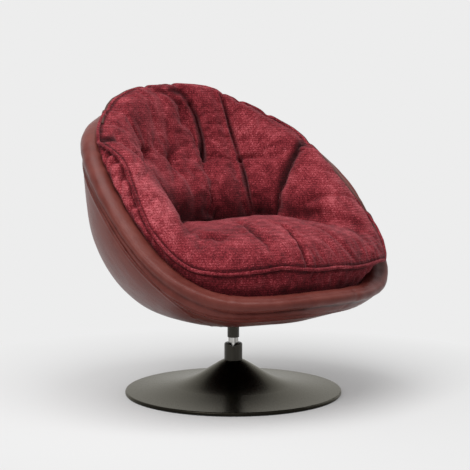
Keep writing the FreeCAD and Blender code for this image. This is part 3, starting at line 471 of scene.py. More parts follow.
class ShaderBoard:
    """The node tree of one material, with short calls to add and join nodes."""

    def __init__(self, name: str) -> None:
        """Starts a material with a principled surface and its output.

        Args:
            name: The material's name.
        """
        self.material = bpy.data.materials.new(name)
        self.material.use_nodes = True
        self.tree = self.material.node_tree
        self.tree.nodes.clear()
        self.output = self.add("ShaderNodeOutputMaterial")
        self.surface = self.add("ShaderNodeBsdfPrincipled")
        self.join(self.surface, "BSDF", self.output, "Surface")
        self.place = self.add("ShaderNodeTexCoord")

    def add(self, kind: str, inputs: Optional[dict[str, object]] = None,
            **settings: object) -> bpy.types.Node:
        """Adds a node.

        Args:
            kind: Blender's name of the kind of node.
            inputs: Values of its input sockets, by name.
            settings: Its other settings.

        Returns:
            The node.
        """
        node = self.tree.nodes.new(kind)
        for name, value in settings.items():
            setattr(node, name, value)
        self.fill(node, inputs or {})
        return node

    def fill(self, node: bpy.types.Node, inputs: dict[str, object]) -> None:
        """Sets a node's input sockets, by name."""
        for name, value in inputs.items():
            node.inputs[name].default_value = value

    def join(self, start: bpy.types.Node, out: str, end: bpy.types.Node, into: str) -> None:
        """Joins an output socket to an input socket, both by name."""
        self.tree.links.new(start.outputs[out], end.inputs[into])

    def stretched(self, scale: Colour = (1.0, 1.0, 1.0)) -> bpy.types.Node:
        """Object coordinates, stretched.

        Args:
            scale: How many times along each axis.

        Returns:
            The mapping node, whose output is Vector.
        """
        mapping = self.add("ShaderNodeMapping", {"Scale": scale})
        self.join(self.place, "Object", mapping, "Vector")
        return mapping

    def noise(self, source: bpy.types.Node, scale: float, detail: float = 3.0,
              roughness: float = 0.55, distortion: float = 0.0) -> bpy.types.Node:
        """A noise texture.

        Args:
            source: The mapped coordinates.
            scale: Waves per metre.
            detail: How many finer layers it has.
            roughness: How strong they are.
            distortion: How far it is warped.

        Returns:
            The texture node, whose output is Fac.
        """
        texture = self.add("ShaderNodeTexNoise", {"Scale": scale, "Detail": detail, "Roughness": roughness,
                                                  "Distortion": distortion})
        self.join(source, "Vector", texture, "Vector")
        return texture

    def cells(self, source: bpy.types.Node, scale: float) -> bpy.types.Node:
        """A cell texture.

        Args:
            source: The mapped coordinates.
            scale: Cells per metre.

        Returns:
            The texture node, whose output is Distance.
        """
        texture = self.add("ShaderNodeTexVoronoi", {"Scale": scale}, feature="F1")
        self.join(source, "Vector", texture, "Vector")
        return texture

    def bands(self, source: bpy.types.Node, scale: float, direction: str,
              distortion: float) -> bpy.types.Node:
        """A texture of bands across one axis.

        Args:
            source: The mapped coordinates.
            scale: Blender's scale of the bands.
            direction: The axis: X, Y or Z.
            distortion: How far the bands wander.

        Returns:
            The texture node, whose output is Fac.
        """
        inputs = {"Scale": scale, "Distortion": distortion, "Detail": 2.0, "Detail Scale": 3.0}
        texture = self.add("ShaderNodeTexWave", inputs, wave_type="BANDS", bands_direction=direction)
        self.join(source, "Vector", texture, "Vector")
        return texture

    def ramp(self, start: bpy.types.Node, out: str, *stops: tuple[float, Colour]) -> bpy.types.Node:
        """A colour ramp, joined to the surface's colour.

        Args:
            start: The node that feeds it.
            out: Its output's name.
            stops: Place and colour of each stop.

        Returns:
            The ramp, whose output is Color.
        """
        node = self.add("ShaderNodeValToRGB")
        while len(node.color_ramp.elements) < len(stops):
            node.color_ramp.elements.new(0.5)
        for element, (place, colour) in zip(node.color_ramp.elements, stops):
            element.position = place
            element.color = (*colour, 1.0)
        self.join(start, out, node, "Fac")
        self.join(node, "Color", self.surface, "Base Color")
        return node

    def spread(self, start: bpy.types.Node, out: str, low: float, high: float,
               source_low: float = 0.0, source_high: float = 1.0) -> bpy.types.Node:
        """Maps one output to a range.

        Args:
            start: The node that feeds it.
            out: Its output's name.
            low: The range's start.
            high: The range's end.
            source_low: The input that gives the start.
            source_high: The input that gives the end.

        Returns:
            The node whose output is Result.
        """
        node = self.add("ShaderNodeMapRange", {"From Min": source_low, "From Max": source_high,
                                               "To Min": low, "To Max": high})
        self.join(start, out, node, "Value")
        return node

    def math(self, operation: str, start: bpy.types.Node, out: str,
             other: Optional[bpy.types.Node] = None, other_out: str = "",
             value: float = 0.0) -> bpy.types.Node:
        """One sum of two outputs, or of an output and a number.

        Args:
            operation: Blender's name of the sum, such as MULTIPLY.
            start: The first node.
            out: Its output's name.
            other: The second node, if there is one.
            other_out: Its output's name.
            value: The number, where there is no second node.

        Returns:
            The node whose Value is the result.
        """
        node = self.add("ShaderNodeMath", operation=operation)
        self.tree.links.new(start.outputs[out], node.inputs[0])
        if other is None:
            node.inputs[1].default_value = value
        else:
            self.tree.links.new(other.outputs[other_out], node.inputs[1])
        return node

    def weighted(self, *terms: tuple[bpy.types.Node, str, float]) -> bpy.types.Node:
        """The sum of outputs, each times its weight.

        Args:
            terms: Node, output name and weight of each.

        Returns:
            The node whose Value is the sum.
        """
        parts = [self.math("MULTIPLY", node, out, value=weight) for node, out, weight in terms]
        total = parts[0]
        for part in parts[1:]:
            total = self.math("ADD", total, "Value", part, "Value")
        return total

    def bump(self, height: bpy.types.Node, out: str, strength: float, distance: float,
             under: Optional[bpy.types.Node] = None) -> bpy.types.Node:
        """A bump, joined to the surface in place of any earlier one.

        Args:
            height: The node that gives its height.
            out: Its output's name.
            strength: How strong it is, 0 to 1.
            distance: How high it is, in metres.
            under: The bump that it lies on.

        Returns:
            The bump, whose output is Normal.
        """
        node = self.add("ShaderNodeBump", {"Strength": strength, "Distance": distance})
        self.join(height, out, node, "Height")
        if under is not None:
            self.join(under, "Normal", node, "Normal")
        self.join(node, "Normal", self.surface, "Normal")
        return node


@dataclass(frozen=True)
class LeatherFinish:
    """Soft upholstery leather: fine pebbled grain, faint clouding and a low sheen."""

    name: str = "maroon_leather"
    deep: Colour = (0.086, 0.0180, 0.0140)
    body: Colour = (0.122, 0.0285, 0.0225)
    worn: Colour = (0.150, 0.041, 0.032)
    roughness_low: float = 0.30
    roughness_high: float = 0.38
    # Darkest stop and its strength: painted shade in the groove under the rim and in the side seam
    painted_groove_dark: Colour = (0.022, 0.0050, 0.0042)
    painted_fold_shade: float = 0.42
    gloss: float = 0.14

    def build(self) -> bpy.types.Material:
        """Makes the material.

        Returns:
            Grain, creases and wide folds over a clouded dye, with painted shade where the groove and seam are
            marked.
        """
        board = ShaderBoard(self.name)
        plain = board.stretched()
        clouds = board.noise(plain, 5.0, 4.0, 0.6)
        patches = board.noise(plain, 26.0, 3.0, 0.6)
        # Attribute of painted shade in the groove and seam, which pulls the dye towards the darkest stop
        painted_groove_shade = board.add("ShaderNodeAttribute", attribute_name="painted_groove_shade")
        tone = board.weighted((clouds, "Fac", 0.5), (patches, "Fac", 0.5), (painted_groove_shade, "Fac", -self.painted_fold_shade))
        board.ramp(tone, "Value", (0.06, self.painted_groove_dark), (0.32, self.deep), (0.52, self.body),
                   (0.72, self.worn))
        rough = board.spread(patches, "Fac", self.roughness_low, self.roughness_high, 0.3, 0.7)
        board.join(rough, "Result", board.surface, "Roughness")
        fine = board.bump(board.cells(plain, 620.0), "Distance", 0.22, 0.0006)
        soft = board.bump(board.noise(plain, 90.0, 5.0, 0.65, 0.6), "Fac", 0.08, 0.0025, fine)
        folds = board.noise(board.stretched((1.0, 1.0, 2.2)), 14.0, 3.0, 0.5, 0.8)
        board.bump(folds, "Fac", 0.08, 0.010, soft)
        board.fill(board.surface, {"Specular IOR Level": self.gloss})
        return board.material


@dataclass(frozen=True)
class PlushFinish:
    """Burgundy ribbed chenille: thick tufted rows, a soft nap and clouded dye."""

    name: str = "burgundy_plush"
    deep: Colour = (0.070, 0.0045, 0.0076)
    body: Colour = (0.200, 0.0205, 0.0280)
    light: Colour = (0.450, 0.104, 0.120)
    # Darkest stop, reached mostly through painted shade in creases and joints
    painted_crease_dark: Colour = (0.016, 0.0012, 0.0020)
    sheen: Colour = (0.90, 0.38, 0.42)
    row_pitch: float = 0.0062
    stitch_share: float = 0.9

    def build(self) -> bpy.types.Material:
        """Makes the material.

        Returns:
            Tufted rows and fuzz over a clouded, flecked dye, with painted shade in creases, pucker troughs
            and joints and painted light on top of the wings.
        """
        board = ShaderBoard(self.name)
        plain = board.stretched()
        turns = 2 * math.pi / self.row_pitch / BAND_SCALE
        level = board.bands(plain, turns, "Z", 1.6)
        across = board.bands(plain, turns * self.stitch_share, "X", 2.2)
        along = board.bands(plain, turns * self.stitch_share, "Y", 2.2)
        lattice = board.weighted((across, "Fac", 0.5), (along, "Fac", 0.5))
        lattice = board.math("MULTIPLY", lattice, "Value", level, "Fac")
        yarn = board.cells(plain, 330.0)
        # Attribute of painted shade in creases, pucker troughs and joints; below zero it is painted light on
        # top of the wings
        painted_hollow_shade = board.add("ShaderNodeAttribute", attribute_name="painted_hollow_shade")
        tone = board.weighted(
            (board.noise(plain, 9.0, 4.0, 0.6), "Fac", 0.28),
            (board.noise(plain, 36.0, 3.0, 0.6), "Fac", 0.22),
            (board.noise(plain, 340.0, 3.0, 0.75), "Fac", 0.66),
            (lattice, "Value", 0.10), (yarn, "Distance", -0.12), (painted_hollow_shade, "Fac", -0.30))
        board.ramp(tone, "Value", (0.27, self.painted_crease_dark), (0.46, self.deep), (0.60, self.body),
                   (0.76, self.light))
        rows = board.bump(lattice, "Value", 0.27, 0.0022)
        tufts = board.bump(yarn, "Distance", 0.35, 0.0012, rows)
        board.bump(board.noise(plain, 420.0, 3.0, 0.7), "Fac", 0.35, 0.0008, tufts)
        board.fill(board.surface, {"Roughness": 0.92, "Specular IOR Level": 0.10, "Sheen Weight": 0.20,
                                   "Sheen Roughness": 0.5, "Sheen Tint": (*self.sheen, 1.0)})
        return board.material


@dataclass(frozen=True)
class MetalFinish:
    """Metal with fine marks: plated, brushed, cast or painted, by its numbers."""

    name: str
    dark: Colour
    light: Colour
    roughness_low: float
    roughness_high: float
    metallic: float
    grain: float = 260.0
    grain_strength: float = 0.05
    tint: Colour = (1.0, 1.0, 1.0)
    stretch: Colour = (1.0, 1.0, 1.0)
    cloud_scale: float = 14.0
    mark_height: float = 0.0005

    def build(self) -> bpy.types.Material:
        """Makes the material.

        Returns:
            A metal or paint with clouds in its tone and fine marks in its surface.
        """
        board = ShaderBoard(self.name)
        source = board.stretched(self.stretch)
        clouds = board.noise(source, self.cloud_scale, 4.0, 0.6)
        specks = board.noise(source, self.grain, 3.0, 0.6)
        board.ramp(clouds, "Fac", (0.3, self.dark), (0.7, self.light))
        rough = board.spread(specks, "Fac", self.roughness_low, self.roughness_high, 0.35, 0.65)
        board.join(rough, "Result", board.surface, "Roughness")
        board.bump(specks, "Fac", self.grain_strength, self.mark_height)
        board.fill(board.surface, {"Metallic": self.metallic, "Specular Tint": (*self.tint, 1.0)})
        return board.material


@dataclass(frozen=True)
class MouldedFinish:
    """Rubber, moulded plastic, foam or board: a matt solid with its own grain."""

    name: str
    dark: Colour
    light: Colour
    roughness: float
    grain: float
    bump_strength: float
    stretch: Colour = (1.0, 1.0, 1.0)
    pore_height: float = 0.0008

    def build(self) -> bpy.types.Material:
        """Makes the material.

        Returns:
            A matt solid with clouds and pores.
        """
        board = ShaderBoard(self.name)
        source = board.stretched(self.stretch)
        clouds = board.noise(source, 18.0, 4.0, 0.6)
        pores = board.noise(source, self.grain, 4.0, 0.7)
        mixed = board.weighted((clouds, "Fac", 0.5), (pores, "Fac", 0.5))
        board.ramp(mixed, "Value", (0.35, self.dark), (0.65, self.light))
        board.bump(pores, "Fac", self.bump_strength, self.pore_height)
        board.fill(board.surface, {"Roughness": self.roughness})
        return board.material


class Finish(Enum):
    """The object's finishes, each with the node materials it is built from."""

    LEATHER = LeatherFinish()
    # A darker copy of the maroon leather for the cushion's edge: partly the edge's own darker tone, partly
    # painted shade for an edge that lies in shade
    BACKING = LeatherFinish("cushion_edge_leather", (0.046, 0.0165, 0.0135), (0.068, 0.027, 0.022),
                            (0.095, 0.042, 0.034), 0.45, 0.6)
    PLUSH = PlushFinish()
    BRONZED_STEEL = MetalFinish("bronzed_steel", (0.0140, 0.0125, 0.0094), (0.0176, 0.0158, 0.0119),
                                0.26, 0.30, 1.0, 420.0, 0.02, (0.92, 0.90, 0.83))
    # Its tone runs in vertical streaks from dark to light: painted highlights for the streaked reflections on
    # the column
    TUBE_STEEL = MetalFinish("tube_steel", (0.0035, 0.0030, 0.0018), (0.0165, 0.0138, 0.0088),
                             0.34, 0.46, 0.0, 420.0, 0.04, (1.0, 0.95, 0.82), (1.0, 1.0, 0.06), 130.0)
    # Its tone runs in vertical streaks from dark to light: painted reflections, far darker than chrome
    # reflects
    CHROME = MetalFinish("spindle_chrome", (0.10, 0.097, 0.090), (0.62, 0.61, 0.585), 0.16, 0.26, 1.0,
                         180.0, 0.03, (1.0, 1.0, 1.0), (1.0, 1.0, 0.05), 150.0)
    INNER_STEEL = MetalFinish("inner_steel", (0.28, 0.28, 0.28), (0.42, 0.42, 0.42), 0.35, 0.5, 1.0)
    FASTENER_STEEL = MetalFinish("fastener_steel", (0.42, 0.42, 0.43), (0.58, 0.58, 0.58), 0.25, 0.4, 1.0)
    BEARING_STEEL = MetalFinish("bearing_steel", (0.55, 0.55, 0.56), (0.68, 0.68, 0.68), 0.12, 0.22, 1.0)
    BALLAST_IRON = MetalFinish("ballast_iron", (0.035, 0.035, 0.036), (0.065, 0.063, 0.06), 0.6, 0.8, 0.7,
                               140.0, 0.4)
    FLOOR_RUBBER = MouldedFinish("floor_rubber", (0.012, 0.012, 0.012), (0.026, 0.026, 0.026), 0.85,
                                 600.0, 0.3)
    BUSH_PLASTIC = MouldedFinish("bush_plastic", (0.62, 0.60, 0.54), (0.74, 0.72, 0.66), 0.5, 900.0, 0.1)
    BOARD_WOOD = MouldedFinish("board_wood", (0.30, 0.19, 0.10), (0.50, 0.36, 0.22), 0.65, 120.0, 0.3,
                               (1.0, 9.0, 1.0))
    SHELL_PLASTIC = MouldedFinish("moulded_shell", (0.05, 0.05, 0.05), (0.08, 0.08, 0.08), 0.6, 500.0, 0.15)
    FOAM = MouldedFinish("padding_foam", (0.62, 0.56, 0.40), (0.78, 0.72, 0.55), 0.95, 700.0, 0.5)
    LINING = MouldedFinish("lining_felt", (0.045, 0.020, 0.020), (0.085, 0.040, 0.038), 0.95, 800.0, 0.6)
    STRIP = MouldedFinish("strip_fabric", (0.02, 0.02, 0.02), (0.05, 0.05, 0.05), 0.95, 1500.0, 0.8)

    def material(self) -> bpy.types.Material:
        """The finish's material.

        Returns:
            The same material at every call, made at the first.
        """
        name = self.value.name + "_finish"
        found = bpy.data.materials.get(name)
        if found is None:
            found = self.value.build()
            found.name = name
        return found

    def dress(self, piece: bpy.types.Object) -> None:
        """Gives an object this finish alone."""
        piece.data.materials.clear()
        piece.data.materials.append(self.material())


# What stays as the frame has it, dressed anew


@dataclass
class PedestalAndColumn:
    """The foot, the column and the turning parts: the frame's own solids with their finishes."""

    finishes: dict[str, Finish] = field(default_factory=lambda: {
        "foot_disc": Finish.BRONZED_STEEL, "column_sleeve": Finish.TUBE_STEEL,
        "seat_hub": Finish.TUBE_STEEL, "spindle": Finish.CHROME,
        "floor_ring": Finish.FLOOR_RUBBER, "ballast_plate": Finish.BALLAST_IRON,
        "column_flange": Finish.INNER_STEEL, "column_tube": Finish.INNER_STEEL,
        "flange_bolts": Finish.FASTENER_STEEL, "flange_washers": Finish.FASTENER_STEEL,
        "flange_nuts": Finish.FASTENER_STEEL, "lower_bush": Finish.BUSH_PLASTIC,
        "upper_bush": Finish.BUSH_PLASTIC, "lower_race": Finish.BEARING_STEEL,
        "upper_race": Finish.BEARING_STEEL, "bearing_balls": Finish.BEARING_STEEL,
        "spindle_screw": Finish.FASTENER_STEEL, "screw_washer": Finish.FASTENER_STEEL,
        "seat_plate": Finish.INNER_STEEL, "seat_washers": Finish.FASTENER_STEEL,
        "seat_bolts": Finish.FASTENER_STEEL, "base_board": Finish.BOARD_WOOD,
        "tee_nuts": Finish.FASTENER_STEEL, "bucket_shell": Finish.SHELL_PLASTIC,
    })

    def build(self) -> None:
        """Dresses every solid of the frame that stays in sight or inside."""
        for node, finish in self.finishes.items():
            finish.dress(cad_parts[node])
            log.info("dressed %s as %s", node, finish.name.lower())


# The leather over the bucket


@dataclass(frozen=True)
class Stitch:
    """One stitch of thread along the seam under the rim: its sizes in metres."""

    pitch: float = 0.0070
    half_length: float = 0.0021
    half_width: float = 0.0006
    height: float = 0.0010
    taper: float = 0.7
    below_seam: float = 0.0045
    lift: float = 0.0002

    def corners(self, middle: np.ndarray, ahead: np.ndarray, out: np.ndarray) -> np.ndarray:
        """Corners of one stitch.

        Args:
            middle: The place of its middle.
            ahead: Direction along the seam.
            out: Direction away from the leather.

        Returns:
            Three corners at each end, one row each.
        """
        side = np.cross(ahead, out)
        side /= np.linalg.norm(side)
        corners = []
        for end in (-self.half_length, self.half_length):
            corners.append(middle + ahead * end - side * self.half_width)
            corners.append(middle + ahead * end * self.taper + out * self.height)
            corners.append(middle + ahead * end + side * self.half_width)
        return np.array(corners)

    def faces(self, base: int) -> list[Face]:
        """Faces of one stitch.

        Args:
            base: The number of its first corner.

        Returns:
            Corner numbers of each face.
        """
        return [(base, base + 1, base + 4, base + 3), (base + 1, base + 2, base + 5, base + 4),
                (base + 2, base, base + 3, base + 5), (base, base + 2, base + 1),
                (base + 3, base + 4, base + 5)]


@dataclass
class LeatherBucket:
    """Lower cover, padded rim and its lining, with their seams, grooves and creases, and painted shade in the
    groove and side seam.

    Left and right are as in the photo. A turn is in degrees from the front, to the left below
    zero. A drop is how far a place lies below the rim's crest. Lengths are in metres.
    """

    form: BucketForm = FORM
    columns: int = 400
    wall_rows: int = 84
    rim_rows: int = 34
    groove_turns: tuple[float, ...] = (0.0, 38.0, 48.0, 57.0, 67.0, 79.0, 92.0, 130.0, 180.0)
    groove_drops: tuple[float, ...] = (0.040, 0.042, 0.036, 0.036, 0.043, 0.047, 0.048, 0.048, 0.048)
    groove_section: tuple[Ridge, ...] = (
        Ridge(0.0, 0.0085, -0.0050), Ridge(-0.020, 0.010, 0.0020), Ridge(0.016, 0.008, 0.0012))
    seam_section: tuple[Ridge, ...] = (Ridge(0.0, 0.0026, -0.0020), Ridge(0.007, 0.0050, 0.0014))
    deepest: float = -0.0034
    below_groove: Span = (0.045, 0.085)
    belly_apart: Span = (0.14, 0.27)
    belly_top: Span = (0.44, 0.56)
    belly_swell: float = 0.0050
    slack_share: float = 0.75
    slack_right: Ridge = Ridge(50.0, 24.0)
    slack_left: Ridge = Ridge(-46.0, 16.0)
    front_swell: Ridge = Ridge(-1.0, 15.0, 0.0060)
    corner_swell: Ridge = Ridge(52.0, 20.0, 0.0085)
    corner_fade: Span = (0.9, 0.5)
    lip_swell: Ridge = Ridge(0.0, 44.0, 0.0060)
    lip_fade: float = 0.8
    wrinkle: float = 0.0005
    wrinkle_size: Span = (9.0, 34.0)
    wrinkled_rim: Ridge = Ridge(0.04, 0.05, 0.4)
    front_seam_end: Span = (54.0, 64.0)
    rim_sink: Ridge = Ridge(93.0, 12.0, 0.0065)
    rim_top: Span = (0.003, 0.015)
    rim_shoulder: Ridge = Ridge(-130.0, 14.0, 0.0070)
    rim_bulge: float = 0.0012
    cross_cut: Ridge = Ridge(0.0, 0.0022, -0.0028)
    cross_pucker: Ridge = Ridge(0.0, 0.012, 0.0012)
    cross_turns: float = 520.0
    # Bands of painted shade along the groove under the rim and along the side seam
    groove_line: Ridge = Ridge(0.0, 0.0040)
    groove_shade: Ridge = Ridge(0.0, 62.0, 0.65)
    groove_least: float = 0.25
    seam_line: Ridge = Ridge(0.0, 0.0022, 0.55)
    seam_tuck: float = 0.0045
    seam_lap: float = 0.0006
    lining_grid: tuple[int, int] = (180, 40)
    lining_low: float = 0.0176
    lining_thickness: float = 0.0030
    foam_grid: tuple[int, int] = (200, 14)
    foam_gap: float = 0.0012
    stitch: Stitch = Stitch()
    seam_turns: tuple[float, ...] = (0.0, 40.0, 47.0, 50.0, 52.0, 53.2, 55.0, 58.0, 63.0, 180.0)
    seam_drops: tuple[float, ...] = (0.300, 0.260, 0.200, 0.160, 0.130, 0.105, 0.080, 0.067, 0.059, 0.058)
    cross_seams: tuple[float, ...] = (-37.1, 15.3, 146.0, -146.0)

    def turns(self, angle: np.ndarray) -> np.ndarray:
        """Directions as degrees of the bucket's own outline."""
        return np.degrees(self.form.reach(angle, 0.0)[1])

    def belly_seam_drop(self, angle: np.ndarray) -> np.ndarray:
        """How far below the crest the side seam runs; at the front corners it dives under the bucket."""
        return np.interp(np.abs(self.turns(angle)), self.seam_turns, self.seam_drops)

    def groove_drop(self, turn: np.ndarray) -> np.ndarray:
        """How far below the crest the groove under the rim runs."""
        return np.interp(np.abs(turn), self.groove_turns, self.groove_drops)

    def relief(self, points: np.ndarray, angle: np.ndarray, drop: np.ndarray) -> np.ndarray:
        """How far the leather stands proud of the wall.

        Args:
            points: Places on the wall.
            angle: Their directions.
            drop: How far each lies below the crest.

        Returns:
            Heights of the relief in metres.
        """
        turn = self.turns(angle)
        low = smooth_step(*self.below_groove, drop)
        apart = np.hypot(points[:, 0], points[:, 1])
        belly = low * smooth_step(*self.belly_apart, apart)
        belly *= 1.0 - smooth_step(*self.belly_top, points[:, 2])
        slack = self.slack_right.at(turn) + self.slack_left.at(turn) * smooth_step(0.08, 0.13, drop)
        height = belly * (self.belly_swell * (1.0 - self.slack_share * slack) + self.front_swell.at(turn))
        corner = self.corner_swell.at(np.abs(turn)) * smooth_step(0.002, 0.018, drop)
        height += corner * (1.0 - np.where(turn < 0, *self.corner_fade) * low)
        height += self.lip_swell.at(turn) * smooth_step(0.006, 0.018, drop) * (1.0 - self.lip_fade * low)
        height += section(self.groove_section, drop - self.groove_drop(turn))
        height += section(self.seam_section, drop - self.belly_seam_drop(angle))
        ahead = 1.0 - smooth_step(*self.front_seam_end, np.abs(turn))
        height += ahead * section(self.seam_section, drop - self.form.seam_drop)
        degrees_long, per_metre = self.wrinkle_size
        places = (np.degrees(angle) / degrees_long, drop * per_metre, np.zeros_like(drop))
        folds = rough_noise(np.stack(places, axis=-1), 1.0, 3, 3.1)
        height += self.wrinkle * folds * (1.0 - self.wrinkled_rim.height + self.wrinkled_rim.at(drop))
        return np.maximum(height, self.deepest)

    def shell_grid(self, angle: np.ndarray, shares: np.ndarray,
                   inset: float) -> tuple[np.ndarray, np.ndarray]:
        """A grid of places on the wall.

        Args:
            angle: Directions in radians, one for each column.
            shares: Shares of the wall's quarter turn, one row for each direction.
            inset: How far inside the wall they lie.

        Returns:
            The places and the direction of each.
        """
        turned = np.repeat(angle[:, None], shares.shape[1], axis=1)
        distance, height = self.form.wall(turned, shares, inset, inset)
        return in_space(turned, distance, height), turned

    def roll_grid(self, angle: np.ndarray, swing: np.ndarray,
                  inset: np.ndarray) -> tuple[np.ndarray, np.ndarray]:
        """A grid of places on the padded rim's roll.

        Args:
            angle: Directions in radians, one for each column.
            swing: Turns about the roll's middle line, from its outside over its top.
            inset: How far inside the leather they lie.

        Returns:
            The places and the direction of each.
        """
        form = self.form
        middle = form.reach(angle, form.roll_half_width)[0]
        tangent = form.crest(angle) - form.roll_height
        distance = middle[:, None] + (form.roll_half_width - inset) * np.cos(swing)[None, :]
        height = tangent[:, None] + (form.roll_height - inset) * np.sin(swing)[None, :]
        wide = np.repeat(angle[:, None], len(swing), axis=1)
        return in_space(wide, distance, height), wide

    def build_lower_cover(self) -> bpy.types.Object:
        """Makes the leather from the opening round the hub up to the seam below the rim.

        Returns:
            The cover.
        """
        form = self.form
        angle = np.linspace(-np.pi, np.pi, self.columns, endpoint=False)
        start = form.share_at_distance(angle, np.full_like(angle, form.opening), 0.0)
        end = form.share_at_height(angle, form.crest(angle) - form.seam_drop, 0.0)
        steps = np.linspace(0.0, 1.0, self.wall_rows)
        shares = start[:, None] + (end - start)[:, None] * steps[None, :]
        return self.skin("lower_leather", *self.shell_grid(angle, shares, 0.0))

    def build_rim_cover(self) -> bpy.types.Object:
        """Makes the leather from the seam over the padded rim and down inside it.

        Returns:
            The cover, with its lower edge tucked in behind the seam.
        """
        form = self.form
        angle = np.linspace(-np.pi, np.pi, self.columns, endpoint=False)
        seam = form.crest(angle) - form.seam_drop + self.seam_lap
        start = form.share_at_height(angle, seam, 0.0)
        steps = np.linspace(0.0, 1.0, 14)
        shares = start[:, None] + (1.0 - start)[:, None] * steps[None, :-1]
        tuck_share = form.share_at_height(angle, seam - self.seam_tuck, 0.0)[:, None]
        parts = (self.shell_grid(angle, tuck_share, form.leather_thickness * 0.8),
                 self.shell_grid(angle, shares, 0.0),
                 self.roll_grid(angle, np.linspace(0.0, np.pi * 1.06, self.rim_rows), 0.0))
        grid = np.concatenate([places for places, _ in parts], axis=1)
        return self.skin("rim_leather", grid, np.concatenate([turned for _, turned in parts], axis=1))

    def skin(self, name: str, grid: np.ndarray, angle: np.ndarray) -> bpy.types.Object:
        """A leather skin of real thickness from a grid of places.

        Args:
            name: The object's name.
            grid: Places, one row of points for each direction.
            angle: The direction of each point.

        Returns:
            The finished object.
        """
        columns, rows = grid.shape[:2]
        flat, turned = grid.reshape(-1, 3), angle.reshape(-1)
        piece = mesh_piece(name, flat, grid_faces(columns, rows, wrap_rows=False))
        normals = read_normals(piece)
        outward = np.einsum("ij,ij->i", normals, flat - np.array([0.0, 0.0, 0.45])).sum()
        if outward < 0:
            piece.data.flip_normals()
            normals = -normals
        drop = self.form.crest(turned) - flat[:, 2]
        relief = self.relief(flat, turned, drop)
        if name == "rim_leather":
            relief = relief + self.rim_relief(flat, turned, drop)
        write_points(piece, flat + normals * relief[:, None])
        # Painted shade in the groove and seam, read by the leather's material
        write_shade(piece, "painted_groove_shade", self.painted_fold_shade(turned, drop))
        thicken(piece, self.form.leather_thickness)
        return piece

    def painted_fold_shade(self, angle: np.ndarray, drop: np.ndarray) -> np.ndarray:
        """Painted shade for the leather in the groove under the rim and in the side seam.

        Args:
            angle: Directions in radians.
            drop: How far each place lies below the crest.

        Returns:
            Values from 0 to 1.
        """
        turn = self.turns(angle)
        groove = self.groove_line.at(drop - self.groove_drop(turn))
        shade = (self.groove_least + self.groove_shade.at(turn)) * groove
        return np.maximum(shade, self.seam_line.at(drop - self.belly_seam_drop(angle)))

    def rim_relief(self, points: np.ndarray, angle: np.ndarray, drop: np.ndarray) -> np.ndarray:
        """Cross seams and soft bulges of the padded rim, which is pressed lower under the right wing.

        Args:
            points: Places on the rim.
            angle: Their directions.
            drop: How far each lies below the crest.

        Returns:
            Heights to add to the relief, in metres.
        """
        turn = self.turns(angle)
        height = self.rim_bulge * rough_noise(points, 22.0, 2, 8.3) + self.rim_shoulder.at(turn)
        height -= self.rim_sink.at(turn) * (1.0 - smooth_step(*self.rim_top, drop))
        for place in self.cross_seams:
            along = np.radians(turn_from(turn, place)) * self.form.half_width
            height += self.cross_cut.at(along)
            height += self.cross_pucker.at(along) * np.cos(along * self.cross_turns)
        return height

    def build_lining(self) -> bpy.types.Object:
        """Makes the felt lining inside the bucket, under the cushions.

        Returns:
            The lining.
        """
        form = self.form
        columns, rows = self.lining_grid
        angle = np.linspace(-np.pi, np.pi, columns, endpoint=False)
        side = form.roll_half_width * 2
        start = form.share_at_distance(angle, np.full_like(angle, form.opening + 0.002), side)
        shares = start[:, None] + (1.0 - start)[:, None] * np.linspace(0.0, 1.0, rows)[None, :]
        turned = np.repeat(angle[:, None], rows, axis=1)
        distance, height = form.wall(turned, shares, side, self.lining_low)
        height = np.minimum(height, height[:, -1:] - 0.001)
        flat = in_space(turned, distance, height).reshape(-1, 3)
        piece = mesh_piece("felt_lining", flat, grid_faces(columns, rows, wrap_rows=False, turned=True))
        thicken(piece, self.lining_thickness)
        return piece

    def build_padding(self) -> bpy.types.Object:
        """Makes the foam inside the padded rim.

        Returns:
            The foam.
        """
        columns, rows = self.foam_grid
        angle = np.linspace(-np.pi, np.pi, columns, endpoint=False)
        inset = self.form.leather_thickness + self.foam_gap + self.rim_sink.at(self.turns(angle))
        grid, _ = self.roll_grid(angle, np.linspace(0.0, np.pi, rows), inset[:, None])
        piece = mesh_piece("rim_foam", grid.reshape(-1, 3), grid_faces(columns, rows))
        recalculate_normals(piece)
        return piece

    def build_seam_stitches(self) -> bpy.types.Object:
        """Makes the short thread stitches along the seam under the rim.

        Returns:
            All of them, joined into one piece.
        """
        form, stitch = self.form, self.stitch
        angle = np.linspace(-np.pi, np.pi, 2400, endpoint=False)
        drop = np.full_like(angle, form.seam_drop + stitch.below_seam)
        share = form.share_at_height(angle, form.crest(angle) - drop, 0.0)
        distance, height = form.wall(angle, share, 0.0, 0.0)
        steep = np.stack(form.wall(angle, share + 0.002, 0.0, 0.0)) - np.stack([distance, height])
        steep /= np.hypot(steep[0], steep[1])
        lift = self.relief(in_space(angle, distance, height), angle, drop) + stitch.lift
        line = in_space(angle, distance + steep[1] * lift, height - steep[0] * lift)
        points: list[np.ndarray] = []
        faces: list[Face] = []
        walked = 0.0
        for index in range(1, len(line)):
            ahead = line[index] - line[index - 1]
            walked += float(np.linalg.norm(ahead))
            if walked < stitch.pitch:
                continue
            walked = 0.0
            turned = angle[index]
            out = np.array([math.sin(turned), -math.cos(turned), 0.0]) * steep[1][index]
            out[2] = -steep[0][index]
            faces += stitch.faces(len(points) * 6)
            points.append(stitch.corners(line[index], ahead / np.linalg.norm(ahead), out))
        piece = mesh_piece("rim_seam_stitches", np.concatenate(points), faces)
        recalculate_normals(piece)
        return piece

